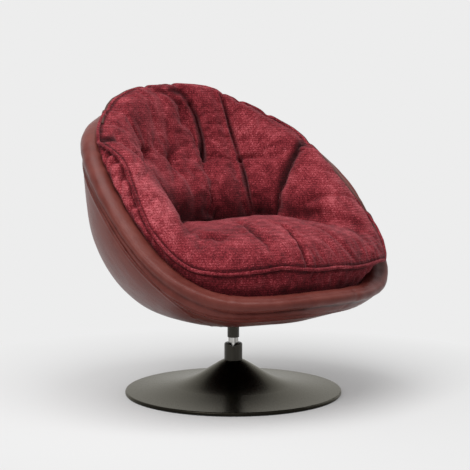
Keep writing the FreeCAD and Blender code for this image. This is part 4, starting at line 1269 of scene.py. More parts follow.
    def build(self) -> None:
        """Builds the leather and what it covers, and sets each on the seat's body."""
        lower = self.build_lower_cover()
        rim = self.build_rim_cover()
        lining = self.build_lining()
        foam = self.build_padding()
        stitches = self.build_seam_stitches()
        for piece, node, finish, slot in (
                (lower, "lower_cover", Finish.LEATHER, "maroon_leather"),
                (rim, "rim_cover", Finish.LEATHER, "maroon_leather"),
                (lining, "padded_lining", Finish.LINING, "lining"),
                (foam, "rim_padding", Finish.FOAM, "padding")):
            finish.dress(piece)
            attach(piece, "seat")
            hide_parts(node)
            log.info("built %s with %d faces", piece.name, len(piece.data.polygons))
        Finish.LEATHER.dress(stitches)
        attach(stitches, "seat")


# The cushion set


@dataclass(frozen=True)
class Crease:
    """A sewn or pressed line in a cushion: places in millimetres, depth, width and the swell beside it."""

    places: tuple[Place, ...]
    depth: float
    width: float
    swell: float = 0.0
    held: bool = True

    def line(self, piece: bpy.types.Object) -> np.ndarray:
        """The crease as close-set points on a piece's surface.

        Args:
            piece: The pad that the crease lies in.

        Returns:
            Places in metres, a few millimetres apart.
        """
        corners = np.array(self.places) / 1000
        if len(corners) == 1:
            dense = corners
        else:
            steps = np.linalg.norm(np.diff(corners, axis=0), axis=1)
            walked = np.concatenate([[0.0], np.cumsum(steps)])
            count = max(int(walked[-1] / LINE_STEP), 2)
            ways = np.linspace(0.0, walked[-1], count)
            dense = np.stack([np.interp(ways, walked, corners[:, axis]) for axis in range(3)], axis=-1)
        placed = []
        for row in dense:
            found, place, _, _ = piece.closest_point_on_mesh(Vector(row))
            placed.append(tuple(place) if found else tuple(row))
        return np.array(placed)

    def drawn(self, gap: np.ndarray, share: np.ndarray) -> tuple[np.ndarray, np.ndarray]:
        """The crease's section and its painted shade.

        Args:
            gap: Distances from its line.
            share: Shares of the way along it.

        Returns:
            Heights in metres, and how much painted shade darkens the pile, 0 to 1.
        """
        ends = 1.0 if len(self.places) == 1 else 0.55 + 0.45 * np.sin(np.pi * np.clip(share, 0.0, 1.0))
        height = self.swell * bell(gap - self.width * 2.6, self.width * 1.5)
        height = height - self.depth * bell(gap, self.width)
        shade = min((self.depth / FULL_DEPTH) ** 2, 1.0) * bell(gap, self.width * 0.9)
        return height * ends, shade * ends


def distance_to_line(points: np.ndarray, line: np.ndarray) -> tuple[np.ndarray, np.ndarray]:
    """Distance of each point from a line of points, and the share of the way along it.

    Args:
        points: Places, one row each.
        line: Close-set points of the line.

    Returns:
        Distances in metres and shares from 0 to 1.
    """
    tree = KDTree(len(line))
    for index, row in enumerate(line):
        tree.insert(Vector(row), index)
    tree.balance()
    low, high = line.min(axis=0) - LINE_REACH, line.max(axis=0) + LINE_REACH
    near = np.all((points > low) & (points < high), axis=1)
    distance = np.full(len(points), 1.0)
    share = np.zeros(len(points))
    for index in np.nonzero(near)[0]:
        _, found, gap = tree.find(Vector(points[index]))
        distance[index] = gap
        share[index] = found / max(len(line) - 1, 1)
    return distance, share


BACK_CREASES = (
    Crease(((0, 286, 838), (38, 289, 826), (58, 278, 792)), 0.009, 0.0110, 0.004),
    Crease(((58, 278, 792), (70, 265, 754), (78, 248, 691), (68, 231, 634)), 0.020, 0.0062, 0.007),
    Crease(((70, 240, 668), (68, 231, 634)), 0.013, 0.0120, 0.004),
    Crease(((163, 88, 478),), 0.009, 0.0140, 0.000),
    Crease(((158, 260, 820), (165, 236, 747), (169, 185, 632)), 0.011, 0.0050, 0.005),
    Crease(((169, 185, 632), (158, 150, 590), (146, 123, 556), (160, 113, 486)), 0.013, 0.0050, 0.005),
    Crease(((169, 185, 632),), 0.005, 0.012, 0.002),
    Crease(((169, 185, 632), (190, 155, 642), (216, 132, 642)), 0.006, 0.0065, 0.003),
    Crease(((-83, 278, 846), (-43, 285, 836), (-13, 279, 827), (23, 279, 792), (25, 263, 744)),
           0.007, 0.0095, 0.004),
    Crease(((-46, 262, 736), (-47, 242, 680), (-61, 227, 627)), 0.005, 0.012, 0.003, False),
    Crease(((-61, 227, 627),), 0.006, 0.016, 0.002),
    Crease(((-61, 227, 627), (-84, 196, 598), (-100, 159, 560)), 0.004, 0.012, 0.002, False),
    Crease(((36, 151, 545), (34, 147, 517), (26, 145, 492)), 0.012, 0.0060, 0.005),
    Crease(((-18, 194, 610), (-2, 169, 588), (-31, 148, 557)), 0.005, 0.011, 0.003, False),
    Crease(((-190, 215, 640),), 0.005, 0.016, 0.002),
    Crease(((-190, 215, 640), (-198, 236, 720), (-204, 250, 800)), 0.005, 0.010, 0.003, False),
)

SEAT_CREASES = (
    Crease(((-62, -108, 484), (-95, -205, 474), (-102, -250, 461), (-108, -287, 444), (-117, -301, 433)),
           0.0080, 0.0075, 0.004),
    Crease(((13, -206, 478), (-10, -273, 456), (-23, -320, 428), (-29, -346, 387)), 0.0090, 0.0065, 0.005),
    Crease(((-226, -163, 474), (-204, -177, 472), (-189, -199, 467)), 0.0065, 0.010, 0.003),
    Crease(((-200, -192, 467), (-226, -235, 440), (-241, -262, 410)), 0.0035, 0.010, 0.002, False),
    Crease(((220, -25, 513), (263, -61, 527), (320, -86, 522)), 0.0050, 0.010, 0.003, False),
    Crease(((140, -130, 494), (172, -148, 488), (240, -130, 488)), 0.0055, 0.010, 0.003, False),
    Crease(((300, -170, 470), (262, -230, 448), (244, -267, 433)), 0.0060, 0.014, 0.003, False),
    Crease(((105, -190, 488), (122, -262, 462), (128, -310, 420)), 0.0040, 0.010, 0.002, False),
    Crease(((-190, 40, 500), (-215, -40, 492), (-236, -110, 482)), 0.0070, 0.022, 0.002, False),
    Crease(((190, 40, 500), (215, -40, 492), (236, -110, 482)), 0.0070, 0.022, 0.002, False),
)


@dataclass
class CushionForm:
    """Outer form of the cushion set before it is puffed up.

    Left and right are as in the photo. The tables give directions in degrees and lengths in
    millimetres: inset and rise of the sewn edge, distance and height of the wings' crest.
    """

    form: BucketForm = FORM
    side_inset: float = 0.0603
    low_inset: float = 0.0222
    partition_left: float = 112.0
    partition_right: float = 105.5
    seat_back_edge: float = 0.095
    seat_square_half: float = 0.140
    seat_half: float = 0.262
    seat_slant: float = 0.312
    corner_share: float = 0.6
    crown_along: float = -0.091
    crown_height: float = 0.502
    rear_height: float = 0.466
    side_fall: float = 0.0157
    sag: float = 0.013
    sag_left: float = 0.016
    sag_right: float = 0.024
    rear_swell_across: Ridge = Ridge(-0.125, 0.050, 0.018)
    rear_swell_along: Ridge = Ridge(0.055, 0.060)
    strip_bulge: Ridge = Ridge(-91.0, 18.0, 0.029)
    notch_section: tuple[Ridge, ...] = (Ridge(0.0, 1.8, -0.0065), Ridge(0.0, 5.5, 0.0022))
    welt_table: tuple[tuple[float, float, float], ...] = (
        (-180, 40, 34), (-174, 41, 34), (-168, 43, 34), (-162, 43, 36), (-156, 43, 37), (-150, 43, 35),
        (-144, 43, 36), (-138, 43, 28), (-132, 42, 24), (-126, 41, 21), (-120, 40, 20), (-114, 40, 17),
        (-110, 40, 14), (-105, 50, 25), (-100, 62, 38), (-95, 72, 48), (-90, 75, 50), (-84, 68, 48),
        (-78, 58, 40), (-72, 48, 31), (-66, 42, 30), (-60, 40, 28), (-54, 40, 30), (-48, 40, 40),
        (-42, 40, 48), (-36, 40, 55), (-30, 40, 61), (-24, 40, 64), (-18, 40, 68), (-12, 40, 64),
        (-6, 40, 58), (0, 40, 54), (6, 40, 53), (12, 40, 55), (18, 36, 53), (24, 30, 50), (30, 22, 50),
        (36, 12, 50), (42, 3, 46), (48, -3, 32), (54, -3, 28), (60, 1, 33), (66, 10, 33), (72, 22, 27),
        (78, 39, 22), (84, 52, 15), (90, 60, 12), (96, 61, 11), (102, 58, 12), (108, 49, 14),
        (114, 45, 21), (120, 45, 23), (126, 45, 26), (132, 45, 33), (138, 45, 36), (144, 45, 37),
        (150, 43, 46), (156, 42, 49), (162, 41, 46), (168, 40, 42), (174, 40, 38), (180, 40, 34),
    )
    notches: tuple[float, ...] = (-111.0, -136.0, -168.5, 175.0, 148.0, 139.5, 126.5, 105.5, 92.5, 74.0)
    crest_table: tuple[tuple[float, float, float], ...] = (
        (50, 268, 478), (60, 284, 482), (66, 298, 500), (72, 310, 534), (78, 322, 568), (84, 328, 598),
        (90, 333, 630), (95, 340, 653), (100, 344, 669), (105, 348, 681), (112, 354, 691),
    )

    def welt(self, angle: np.ndarray) -> tuple[np.ndarray, np.ndarray, np.ndarray]:
        """Distance, height and inset of the cushion's sewn edge in each direction.

        Args:
            angle: Directions in radians, within half a turn of the front.

        Returns:
            Distances from the axis, heights and insets from the bucket's outline.
        """
        table = np.array(self.welt_table)
        degrees = np.degrees(angle)
        inset = np.interp(degrees, table[:, 0], table[:, 1]) / 1000
        rise = np.interp(degrees, table[:, 0], table[:, 2]) / 1000
        for place in self.notches:
            rise = rise + section(self.notch_section, turn_from(degrees, place))
        distance = self.form.reach(angle, inset)[0]
        return distance, self.form.crest(angle) + rise, inset

    def seat_rear(self, across: np.ndarray) -> np.ndarray:
        """Where the seat pad's rear side lies along Y.

        Args:
            across: Places along X.

        Returns:
            The rear side's place along Y at each.
        """
        run = self.seat_half - self.seat_square_half
        soft = run * self.corner_share
        slant = np.maximum(np.abs(across) - self.seat_square_half, 0.0)
        fall = (np.hypot(slant, soft) - soft) / (math.hypot(run, soft) - soft)
        return self.seat_back_edge - fall * self.seat_slant

    def slant_reach(self, angle: np.ndarray) -> np.ndarray:
        """Distance from the axis of the seat pad's rear side.

        Args:
            angle: Directions in radians.

        Returns:
            The distance in each direction.
        """
        near = np.zeros_like(angle)
        far = np.full_like(angle, 0.42)
        for _ in range(36):
            middle = (near + far) / 2
            inside = -middle * np.cos(angle) < self.seat_rear(middle * np.sin(angle))
            near = np.where(inside, middle, near)
            far = np.where(inside, far, middle)
        return far

    def seat_top(self, across: np.ndarray, along: np.ndarray) -> np.ndarray:
        """Height of the seat pad's crown, before it rolls down to its front edge.

        Args:
            across: Places along X.
            along: Places along Y.

        Returns:
            The height at each.
        """
        sunk = self.sag + self.sag_left * smooth_step(-0.08, 0.20, -across) * smooth_step(-0.22, -0.06, along)
        sunk = sunk + self.sag_right * smooth_step(0.05, 0.24, across) * smooth_step(-0.30, -0.10, along)
        sunk = sunk - self.rear_swell_across.at(across) * self.rear_swell_along.at(along)
        fall = self.side_fall * (across / self.seat_half) ** 2
        back = np.clip((along - self.crown_along) / (self.seat_back_edge - self.crown_along), 0.0, 1.2)
        return self.crown_height - fall - sunk - (self.crown_height - self.rear_height) * back**2

    def to_partition(self, degrees: np.ndarray) -> np.ndarray:
        """Degrees from each direction to the nearer joint with the back, above zero towards the front."""
        turned = turn_from(degrees, 0.0)
        return np.where(turned > 0, self.partition_right - turned, self.partition_left + turned)

    def near_joint(self, degrees: float, reach: float) -> float:
        """How near a direction is to a joint with the back: 1 there, 0 from the reach on."""
        return 1.0 - float(smooth_step(0.0, reach, self.to_partition(degrees)))

    def wing_crest(self, degrees: float, edge: float, welt_height: float) -> tuple[float, float]:
        """Distance and height of the wing's crest.

        Args:
            degrees: Direction from the front.
            edge: Distance of the sewn edge there.
            welt_height: Height of the sewn edge there.

        Returns:
            The crest's distance from the axis and its height.
        """
        table = np.array(self.crest_table)
        side = abs(degrees)
        distance = float(np.interp(side, table[:, 0], table[:, 1])) / 1000
        height = float(np.interp(side, table[:, 0], table[:, 2])) / 1000
        distance = min(distance, edge - 0.018)
        soft = self.near_joint(degrees, 6.0)
        return distance + 0.010 * soft**2, max(height, welt_height + 0.002) - 0.005 * soft**2

    def floor_height(self, angle: np.ndarray, distance: np.ndarray) -> np.ndarray:
        """Height of the cushions' underside in each direction, at a distance from the axis."""
        share = self.form.share_at_distance(angle, distance, self.side_inset)
        return self.form.wall(angle, share, self.side_inset, self.low_inset)[1]


@dataclass(frozen=True)
class Gathers:
    """Puckers beside the sewn edge: their wave along it, how they fade from it, and painted shade in their
    troughs and beside the edge.
    """

    wave: float = 0.034
    wander: float = 3.6
    lean: float = 50.0
    height: float = 0.0084
    middle: float = 0.30
    spread: Ridge = Ridge(0.0, 0.040)
    least: float = 0.14
    sides: Ridge = Ridge(90.0, 18.0, 0.86)
    shade: float = 0.62
    edge_shade: Ridge = Ridge(0.008, 0.0045, 0.60)
    fine_wave: float = 0.017
    fine_wander: float = 7.0
    fine: Ridge = Ridge(0.014, 0.014, 0.0006)

    def outside(self, beyond: np.ndarray, rise: np.ndarray) -> np.ndarray:
        """How far places lie outside the sewn edge, 0 to 1, by distance beyond it and rise above it."""
        return smooth_step(-0.004, 0.006, beyond + 0.0005 - rise * 0.55)

    def lay(self, degrees: np.ndarray, edge: np.ndarray, beyond: np.ndarray, rise: np.ndarray,
            wander: np.ndarray) -> tuple[np.ndarray, np.ndarray]:
        """Lays the puckers on both sides of the sewn edge.

        Args:
            degrees: Directions of the places on a pad.
            edge: Distance of the sewn edge from the axis in each.
            beyond: How far each place lies beyond the edge.
            rise: How far it lies above the edge.
            wander: Noise that makes the waves uneven.

        Returns:
            Heights in metres, and painted shade in the pucker troughs and beside the edge, 0 to 1.
        """
        around = np.radians(degrees) * edge * 2 * np.pi
        to_edge = np.hypot(beyond, rise)
        outside = self.outside(beyond, rise)
        gather = np.sin(around / self.wave + wander * self.wander + rise * self.lean)
        pucker = outside * (self.least + self.sides.at(np.abs(degrees))) * self.spread.at(to_edge)
        height = self.height * (gather - self.middle) * pucker
        fine = np.sin(around / self.fine_wave + wander * self.fine_wander)
        height += fine * (1.0 - outside) * self.fine.at(to_edge)
        shade = self.shade * pucker * np.clip(-gather, 0.0, 1.0) ** 4
        return height, np.maximum(shade, self.edge_shade.at(to_edge))


@dataclass
class CushionSet:
    """Seat-and-wings pad and back pad in ribbed plush, with piping and a leather edge.

    A section is a row of distances from the axis and heights, in metres. Laps are in degrees.
    """

    shape: CushionForm = field(default_factory=CushionForm)
    voxel: float = 0.0060
    pressure: float = 4.0
    frames: int = 20
    caps: tuple[float, float] = (0.014, 0.010)
    seat_rows: int = 46
    face_rows: int = 40
    over_rows: int = 12
    edge_roll: float = 0.040
    rear_roll: float = 0.045
    roundness: float = 1.9
    wing_lap: float = 1.2
    rear_lap: float = 1.5
    back_lap: float = 1.0
    back_middle: Span = (0.222, 0.622)
    lobe_height: float = 0.024
    channels: tuple[Ridge, ...] = (
        Ridge(0.0, 5.5, 1.55), Ridge(0.0, 6.5, 0.75), Ridge(0.0, 6.5, 0.90),
        Ridge(0.0, 6.5, 0.35), Ridge(0.0, 7.0, 0.25), Ridge(0.0, 5.5, 1.35))
    gathers: Gathers = Gathers()
    fold_height: float = 0.0034
    ripple_height: float = 0.0011
    # Painted light on top of the wings and on the left edge strip
    painted_light_left: Ridge = Ridge(-80.0, 17.0, 0.40)
    painted_light_right: Ridge = Ridge(72.0, 22.0, 0.24)
    # Painted shade where pads meet, at the seat's foot, in the low back and beside the rim
    joint_shade: Ridge = Ridge(0.0, 0.010, 0.95)
    foot_shade: Ridge = Ridge(0.0, 0.018, 0.45)
    foot_rise: Ridge = Ridge(0.0, 0.030)
    rear_shade: Ridge = Ridge(0.0, 0.085, 0.80)
    rim_shade: Ridge = Ridge(0.0, 0.014, 0.30)
    piping_radius: float = 0.0046
    backing_radius: float = 0.0050
    backing_span: Span = (62.0, 236.0)
    cloth: dict[str, object] = field(default_factory=lambda: {
        "quality": 4, "mass": 0.3, "air_damping": 2.0, "tension_stiffness": 12.0,
        "compression_stiffness": 12.0, "shear_stiffness": 4.0, "bending_stiffness": 0.5,
        "shrink_min": -0.05, "use_pressure": True, "vertex_group_mass": "held",
    })

    def pad(self, name: str, angles: np.ndarray, sections: Sequence[np.ndarray],
            closed: bool) -> bpy.types.Object:
        """Makes a pad from its sections.

        Args:
            name: The object's name.
            angles: Directions in radians.
            sections: A closed section for each direction.
            closed: Whether the last section joins the first.

        Returns:
            The pad.
        """
        stack = np.stack(sections)
        columns, rows = stack.shape[:2]
        many = np.repeat(angles[:, None], rows, axis=1)
        points = in_space(many, stack[..., 0], stack[..., 1]).reshape(-1, 3)
        piece = mesh_piece(name, points, grid_faces(columns, rows, wrap_columns=closed))
        recalculate_normals(piece)
        return piece

    def wing_profile(self, angle: float) -> np.ndarray:
        """Upper side of the seat-and-wings pad in one direction.

        Args:
            angle: The direction in radians.

        Returns:
            The section from the middle out to the sewn edge.
        """
        shape = self.shape
        turned = np.array([angle])
        degrees = math.degrees(angle)
        sine, cosine = math.sin(angle), math.cos(angle)
        edge, welt_height, _ = (value[0] for value in shape.welt(turned))
        toe = min(shape.slant_reach(turned)[0], edge * 0.80)
        to_toe = np.linspace(0.0, 1.0, self.seat_rows)
        middle = toe + (edge - self.edge_roll - toe) * np.linspace(0.0, 1.0, self.face_rows)[1:]
        outer = edge - self.edge_roll * (1 - np.sin(np.linspace(0.0, np.pi / 2, self.over_rows)[1:]))
        radius = np.concatenate([to_toe * toe, middle, outer])
        top = shape.seat_top(radius * sine, -radius * cosine)
        start = min(-shape.crown_along / max(cosine, 0.25), edge * 0.55) if abs(degrees) < 90 else edge * 0.55
        share = np.clip((radius - start) / (edge - start), 0.0, 1.0)
        front = welt_height + (top - welt_height) * (1 - share**self.roundness) ** (1 / self.roundness)
        flat = np.stack([radius, np.where(radius <= start, top, front)], axis=-1)
        crown = np.array(shape.wing_crest(degrees, edge, welt_height))
        inner = to_toe * min(toe, crown[0] - 0.020)
        seat = np.stack([inner, shape.seat_top(inner * sine, -inner * cosine)], axis=-1)
        base = seat[-1] + np.array([0.0, 0.002])
        run = crown - base
        near = base + run * np.array([0.10, 0.42])
        below_crown = np.array([crown[0] - 0.42 * run[0] - 0.004, crown[1]])
        share = np.linspace(0.0, 1.0, self.face_rows)[1:, None]
        face = bend((base, near, below_crown, crown), share)
        face[:, 0] += 0.012 * shape.near_joint(degrees, 4.0) ** 2 * np.sin(np.pi * share[:, 0])
        way = np.linspace(0.0, 1.0, self.over_rows)[1:]
        over = np.stack([crown[0] + (edge - crown[0]) * way,
                         welt_height + (crown[1] - welt_height) * (1 - way**2.0)], axis=-1)
        weight = float(smooth_step(50.0, 68.0, abs(degrees)))
        return flat * (1 - weight) + np.concatenate([seat, face, over]) * weight

    def rear_profile(self, angle: float) -> np.ndarray:
        """Upper side of the seat pad in one direction between the wings, under the back pad.

        Args:
            angle: The direction in radians.

        Returns:
            The section from the middle out to the top of the rear side.
        """
        reach = self.shape.slant_reach(np.array([angle]))[0]
        flat_rows = self.seat_rows + self.face_rows - 1
        rolled = 0.004 * np.sin(np.linspace(0.0, np.pi, self.over_rows)[1:])
        radius = np.concatenate([np.linspace(0.0, 1.0, flat_rows) * reach, reach + rolled])
        top = self.shape.seat_top(radius * math.sin(angle), -radius * math.cos(angle))
        share = np.clip((radius - (reach - self.rear_roll)) / self.rear_roll, 0.0, 1.0)
        top = top - 0.022 * share**2
        top[flat_rows:] -= np.linspace(0.0, 0.020, self.over_rows - 1)
        return np.stack([radius, top], axis=-1)

    def underside(self, angle: float, start: np.ndarray) -> np.ndarray:
        """Edge strip and underside where the pad lies in the bucket, in one direction.

        Args:
            angle: The direction in radians.
            start: Distance and height of the sewn edge.

        Returns:
            The section from the sewn edge down and in to the middle.
        """
        shape, form = self.shape, self.shape.form
        turned = np.array([angle])
        crest = form.crest(turned)[0]
        inset = shape.welt(turned)[2][0]
        foot = np.array([form.reach(turned, shape.side_inset)[0][0], crest - 0.024])
        half = form.reach(turned, (shape.side_inset + inset) / 2)[0][0]
        half += shape.strip_bulge.at(math.degrees(angle))
        middle = np.array([half, crest + max(0.0045, (start[1] - crest) * 0.42)])
        strip = bend((start, middle * 2 - (start + foot) / 2, foot), np.linspace(0.0, 1.0, 14)[1:, None])
        shares = np.linspace(1.0, 0.0, 40)[1:-1]
        distance, height = form.wall(np.full_like(shares, angle), shares, shape.side_inset, shape.low_inset)
        return np.concatenate([strip, np.stack([distance, np.minimum(height, foot[1])], axis=-1)])

    def rear_underside(self, angle: float, start: np.ndarray) -> np.ndarray:
        """Rear side and underside of the seat pad between the wings, in one direction.

        Args:
            angle: The direction in radians.
            start: Distance and height of the rear side's top.

        Returns:
            The section from there down and in to the middle.
        """
        floor = self.shape.floor_height(np.array([angle]), np.array([start[0]]))[0]
        share = np.linspace(0.0, 1.0, 14)[1:, None]
        drop = start * (1 - share) + np.array([start[0], floor]) * share
        radius = start[0] * (1 - np.linspace(0.0, 1.0, 40)[1:-1])
        height = self.shape.floor_height(np.full_like(radius, angle), radius)
        return np.concatenate([drop, np.stack([radius, height], axis=-1)])

    def build_seat_and_wings(self) -> bpy.types.Object:
        """Makes the U-shaped pad: the seat's crown flowing up into a wing on each side.

        Returns:
            The pad before it is puffed up.
        """
        left, right = self.shape.partition_left, self.shape.partition_right
        wings = np.radians(np.linspace(-left - self.wing_lap, right + self.wing_lap, 300))
        rear = np.radians(np.linspace(right + self.rear_lap, 360.0 - left - self.rear_lap, 120))
        sections: list[np.ndarray] = []
        for angle in wings:
            upper = self.wing_profile(float(angle))
            sections.append(np.concatenate([upper, self.underside(float(angle), upper[-1])]))
        for angle in rear:
            upper = self.rear_profile(float(angle))
            sections.append(np.concatenate([upper, self.rear_underside(float(angle), upper[-1])]))
        return self.pad("seat_and_wings_pad", np.concatenate([wings, rear]), sections, True)

    def build_back(self) -> bpy.types.Object:
        """Makes the back pad: tall swells between tufted channels.

        Returns:
            The pad before it is puffed up.
        """
        left, right = self.shape.partition_left, self.shape.partition_right
        span = np.radians(np.linspace(right - self.back_lap, 360.0 - left + self.back_lap, 260))
        return self.pad("back_pad", span, [self.back_profile(float(angle)) for angle in span], False)

    def channel_places(self, share: np.ndarray) -> np.ndarray:
        """Directions of the back's channels.

        Args:
            share: Shares of the way down the pad's face.

        Returns:
            Degrees, one column for each channel.
        """
        right, left = self.shape.partition_right, 360.0 - self.shape.partition_left
        knots = (0.0, 0.5, 1.0)
        lines = ((right, right, right), (148.0, 138.0, 127.0), (176.0, 163.5, 163.0), (192.5, 195.5, 196.0),
                 (214.0, 221.7, 225.0), (left, left, left))
        return np.stack([np.interp(share, knots, line) for line in lines], axis=-1)

    def lobes(self, degrees: float, share: np.ndarray) -> np.ndarray:
        """How far the back swells in one direction.

        Args:
            degrees: The direction.
            share: Shares of the way down the pad's face.

        Returns:
            1 between channels, less in each.
        """
        places = self.channel_places(share)
        return 1.0 - sum(channel.at(degrees - places[:, index])
                         for index, channel in enumerate(self.channels))

    def back_profile(self, angle: float) -> np.ndarray:
        """Section of the back pad in one direction.

        Args:
            angle: The direction in radians.

        Returns:
            The section round its foot, wall, edge strip, crown and face.
        """
        shape, form = self.shape, self.shape.form
        signed = (angle + np.pi) % (2 * np.pi) - np.pi
        turned = np.array([signed])
        edge, welt_height, _ = (value[0] for value in shape.welt(turned))
        toe = shape.slant_reach(turned)[0] + 0.004
        start = form.share_at_distance(turned, np.array([toe]), shape.side_inset)[0]
        shares = np.linspace(start, 1.0, 34)
        many = np.full_like(shares, signed)
        wall = np.stack(form.wall(many, shares, shape.side_inset, shape.low_inset), axis=-1)
        welt = np.array([edge, welt_height])
        strip = wall[-1] + (welt - wall[-1]) * np.linspace(0.0, 1.0, 8)[1:, None]
        depth = form.reach(np.array([np.pi]), 0.0)[0][0] - self.back_middle[0]
        middle = np.array([form.reach(turned, depth)[0][0], self.back_middle[1]])
        crown = np.array([edge - 0.040, welt_height - 0.008])
        seat = shape.seat_top(np.array([toe * math.sin(signed)]), np.array([-toe * math.cos(signed)]))[0]
        drawn = toe + 0.42 * (middle[0] - toe)
        share = np.linspace(0.0, 1.0, 64)
        face = smooth_path(np.array([crown, middle, (drawn, 0.545), (drawn + 0.004, seat - 0.012)]), share)
        tangent = np.gradient(face, axis=0)
        tangent /= np.linalg.norm(tangent, axis=1)[:, None]
        normal = np.stack([tangent[:, 1], -tangent[:, 0]], axis=-1)
        swell = self.lobes(math.degrees(angle) % 360.0, share)
        amount = self.lobe_height * (0.40 + 0.60 * np.sin(np.pi * np.clip(share * 0.85 + 0.12, 0.0, 1.0)))
        amount = amount * (0.25 + 0.75 * smooth_step(0.0, 0.16, share))
        face = face + normal * (amount * (swell - 0.45))[:, None]
        swing = np.linspace(0.0, np.pi / 2, 10)[1:-1]
        over = np.stack([edge + (face[0, 0] - edge) * np.sin(swing),
                         welt_height + (face[0, 1] - welt_height) * (1 - np.cos(swing))], axis=-1)
        front = face[-1] + (wall[0] - face[-1]) * np.linspace(0.0, 1.0, 10)[1:-1, None]
        return np.concatenate([wall, strip, over, face, front])

    def remesh(self, piece: bpy.types.Object) -> None:
        """Gives a pad even square faces.

        Args:
            piece: The pad.
        """
        modifier = piece.modifiers.new("even_faces", "REMESH")
        modifier.mode = "VOXEL"
        modifier.voxel_size = self.voxel
        modifier.use_smooth_shade = True
        apply_modifiers(piece)

    def polar(self, points: np.ndarray) -> tuple[np.ndarray, np.ndarray]:
        """Directions and distances from the axis of places."""
        return np.arctan2(points[:, 0], -points[:, 1]), np.hypot(points[:, 0], points[:, 1])

    def hold_weights(self, piece: bpy.types.Object, creases: Sequence[Crease]) -> np.ndarray:
        """How firmly each corner of a pad is held while it is puffed up.

        Args:
            piece: The pad.
            creases: Its sewn lines.

        Returns:
            One weight per corner, 0 to 1.
        """
        shape = self.shape
        points = read_points(piece)
        angle, distance = self.polar(points)
        limit = shape.form.reach(angle, shape.side_inset)[0]
        floor = shape.floor_height(angle, np.minimum(distance, limit))
        above = points[:, 2] - floor
        hold = 1.0 - smooth_step(0.010, 0.035, above)
        inner = distance > limit - 0.010
        crest = shape.form.crest(angle)
        hold = np.where(inner & (points[:, 2] < crest + 0.004), 1.0, hold)
        edge, welt_height, _ = shape.welt(angle)
        to_welt = np.hypot(distance - edge, points[:, 2] - welt_height)
        hold = np.maximum(hold, 1.0 - smooth_step(0.008, 0.026, to_welt))
        for crease in creases:
            if crease.held:
                gap, _ = distance_to_line(points, crease.line(piece))
                hold = np.maximum(hold, 1.0 - smooth_step(0.006, 0.016, gap))
        return hold

    def puff(self, piece: bpy.types.Object, hold: np.ndarray, cap: float) -> None:
        """Blows a pad up as cloth under pressure, held where it is sewn or rests.

        Args:
            piece: The pad, with even faces.
            hold: How firmly each corner is held, 0 to 1.
            cap: The furthest that a corner may move, in metres.
        """
        before = read_points(piece)
        group = piece.vertex_groups.new(name="held")
        for index, weight in enumerate(hold):
            if weight > 0.02:
                group.add([index], float(min(weight, 1.0)), "REPLACE")
        modifier = piece.modifiers.new("puffed", "CLOTH")
        for name, value in self.cloth.items():
            setattr(modifier.settings, name, value)
        modifier.settings.uniform_pressure_force = self.pressure
        modifier.settings.effector_weights.gravity = 0.0
        modifier.collision_settings.use_collision = False
        modifier.point_cache.frame_start = 1
        modifier.point_cache.frame_end = self.frames
        scene = bpy.context.scene
        for number in range(1, self.frames + 1):
            scene.frame_set(number)
        result = piece.evaluated_get(bpy.context.evaluated_depsgraph_get())
        flat = np.empty(len(before) * 3)
        result.data.vertices.foreach_get("co", flat)
        moved = flat.reshape(-1, 3) - before
        length = np.linalg.norm(moved, axis=1)
        limited = cap * np.tanh(length / cap)
        moved *= (limited / np.maximum(length, 1e-9))[:, None]
        piece.modifiers.remove(modifier)
        piece.vertex_groups.clear()
        write_points(piece, before + moved)
        scene.frame_set(1)
        log.info("puffed %s: mean move %.1f mm, most %.1f mm", piece.name,
                 float(limited.mean()) * 1000, float(limited.max()) * 1000)

    def carve(self, piece: bpy.types.Object, creases: Sequence[Crease]) -> None:
        """Draws a pad's creases in, lays puckers beside its sewn edge, softens its faces with folds, and
        paints shade into creases, puckers and joints, less painted light on the wings.

        Args:
            piece: The pad.
            creases: Its sewn and pressed lines.
        """
        points, normals = read_points(piece), read_normals(piece)
        height, painted_hollow_shade = np.zeros(len(points)), np.zeros(len(points))
        for crease in creases:
            drawn, shade = crease.drawn(*distance_to_line(points, crease.line(piece)))
            height += drawn
            painted_hollow_shade = np.maximum(painted_hollow_shade, shade)
        angle, distance = self.polar(points)
        edge, welt_height, _ = self.shape.welt(angle)
        beyond, rise = distance - edge, points[:, 2] - welt_height
        wander = rough_noise(points, 16.0, 2, 5.0)
        gathered, shade = self.gathers.lay(np.degrees(angle), edge, beyond, rise, wander)
        joints = self.shaded_joints(points, angle, distance, self.gathers.outside(beyond, rise))
        painted_hollow_shade = np.maximum.reduce([painted_hollow_shade, shade, joints])
        folds = rough_noise(points * np.array([1.0, 1.0, 0.7]), 13.0, 3, 1.3)
        height += gathered + self.fold_height * folds + self.ripple_height * rough_noise(points, 38.0, 2, 9.7)
        write_points(piece, points + normals * height[:, None])
        # Painted shade, less the painted light on the wings, as an attribute for the plush material
        write_shade(piece, "painted_hollow_shade", np.clip(painted_hollow_shade, 0.0, 1.0) - self.painted_wing_light(points, angle, distance))

    def painted_wing_light(self, points: np.ndarray, angle: np.ndarray, distance: np.ndarray) -> np.ndarray:
        """Painted light on top of the wings and on the left edge strip, which face the light from above.

        Args:
            points: Places on a pad.
            angle: Their directions.
            distance: Their distances from the axis.

        Returns:
            Values taken off the painted shade, which lighten the pile's colour there.
        """
        degrees = np.degrees(angle)
        high = smooth_step(0.235, 0.300, distance) * smooth_step(0.42, 0.53, points[:, 2])
        return high * (self.painted_light_left.at(degrees) + self.painted_light_right.at(degrees))

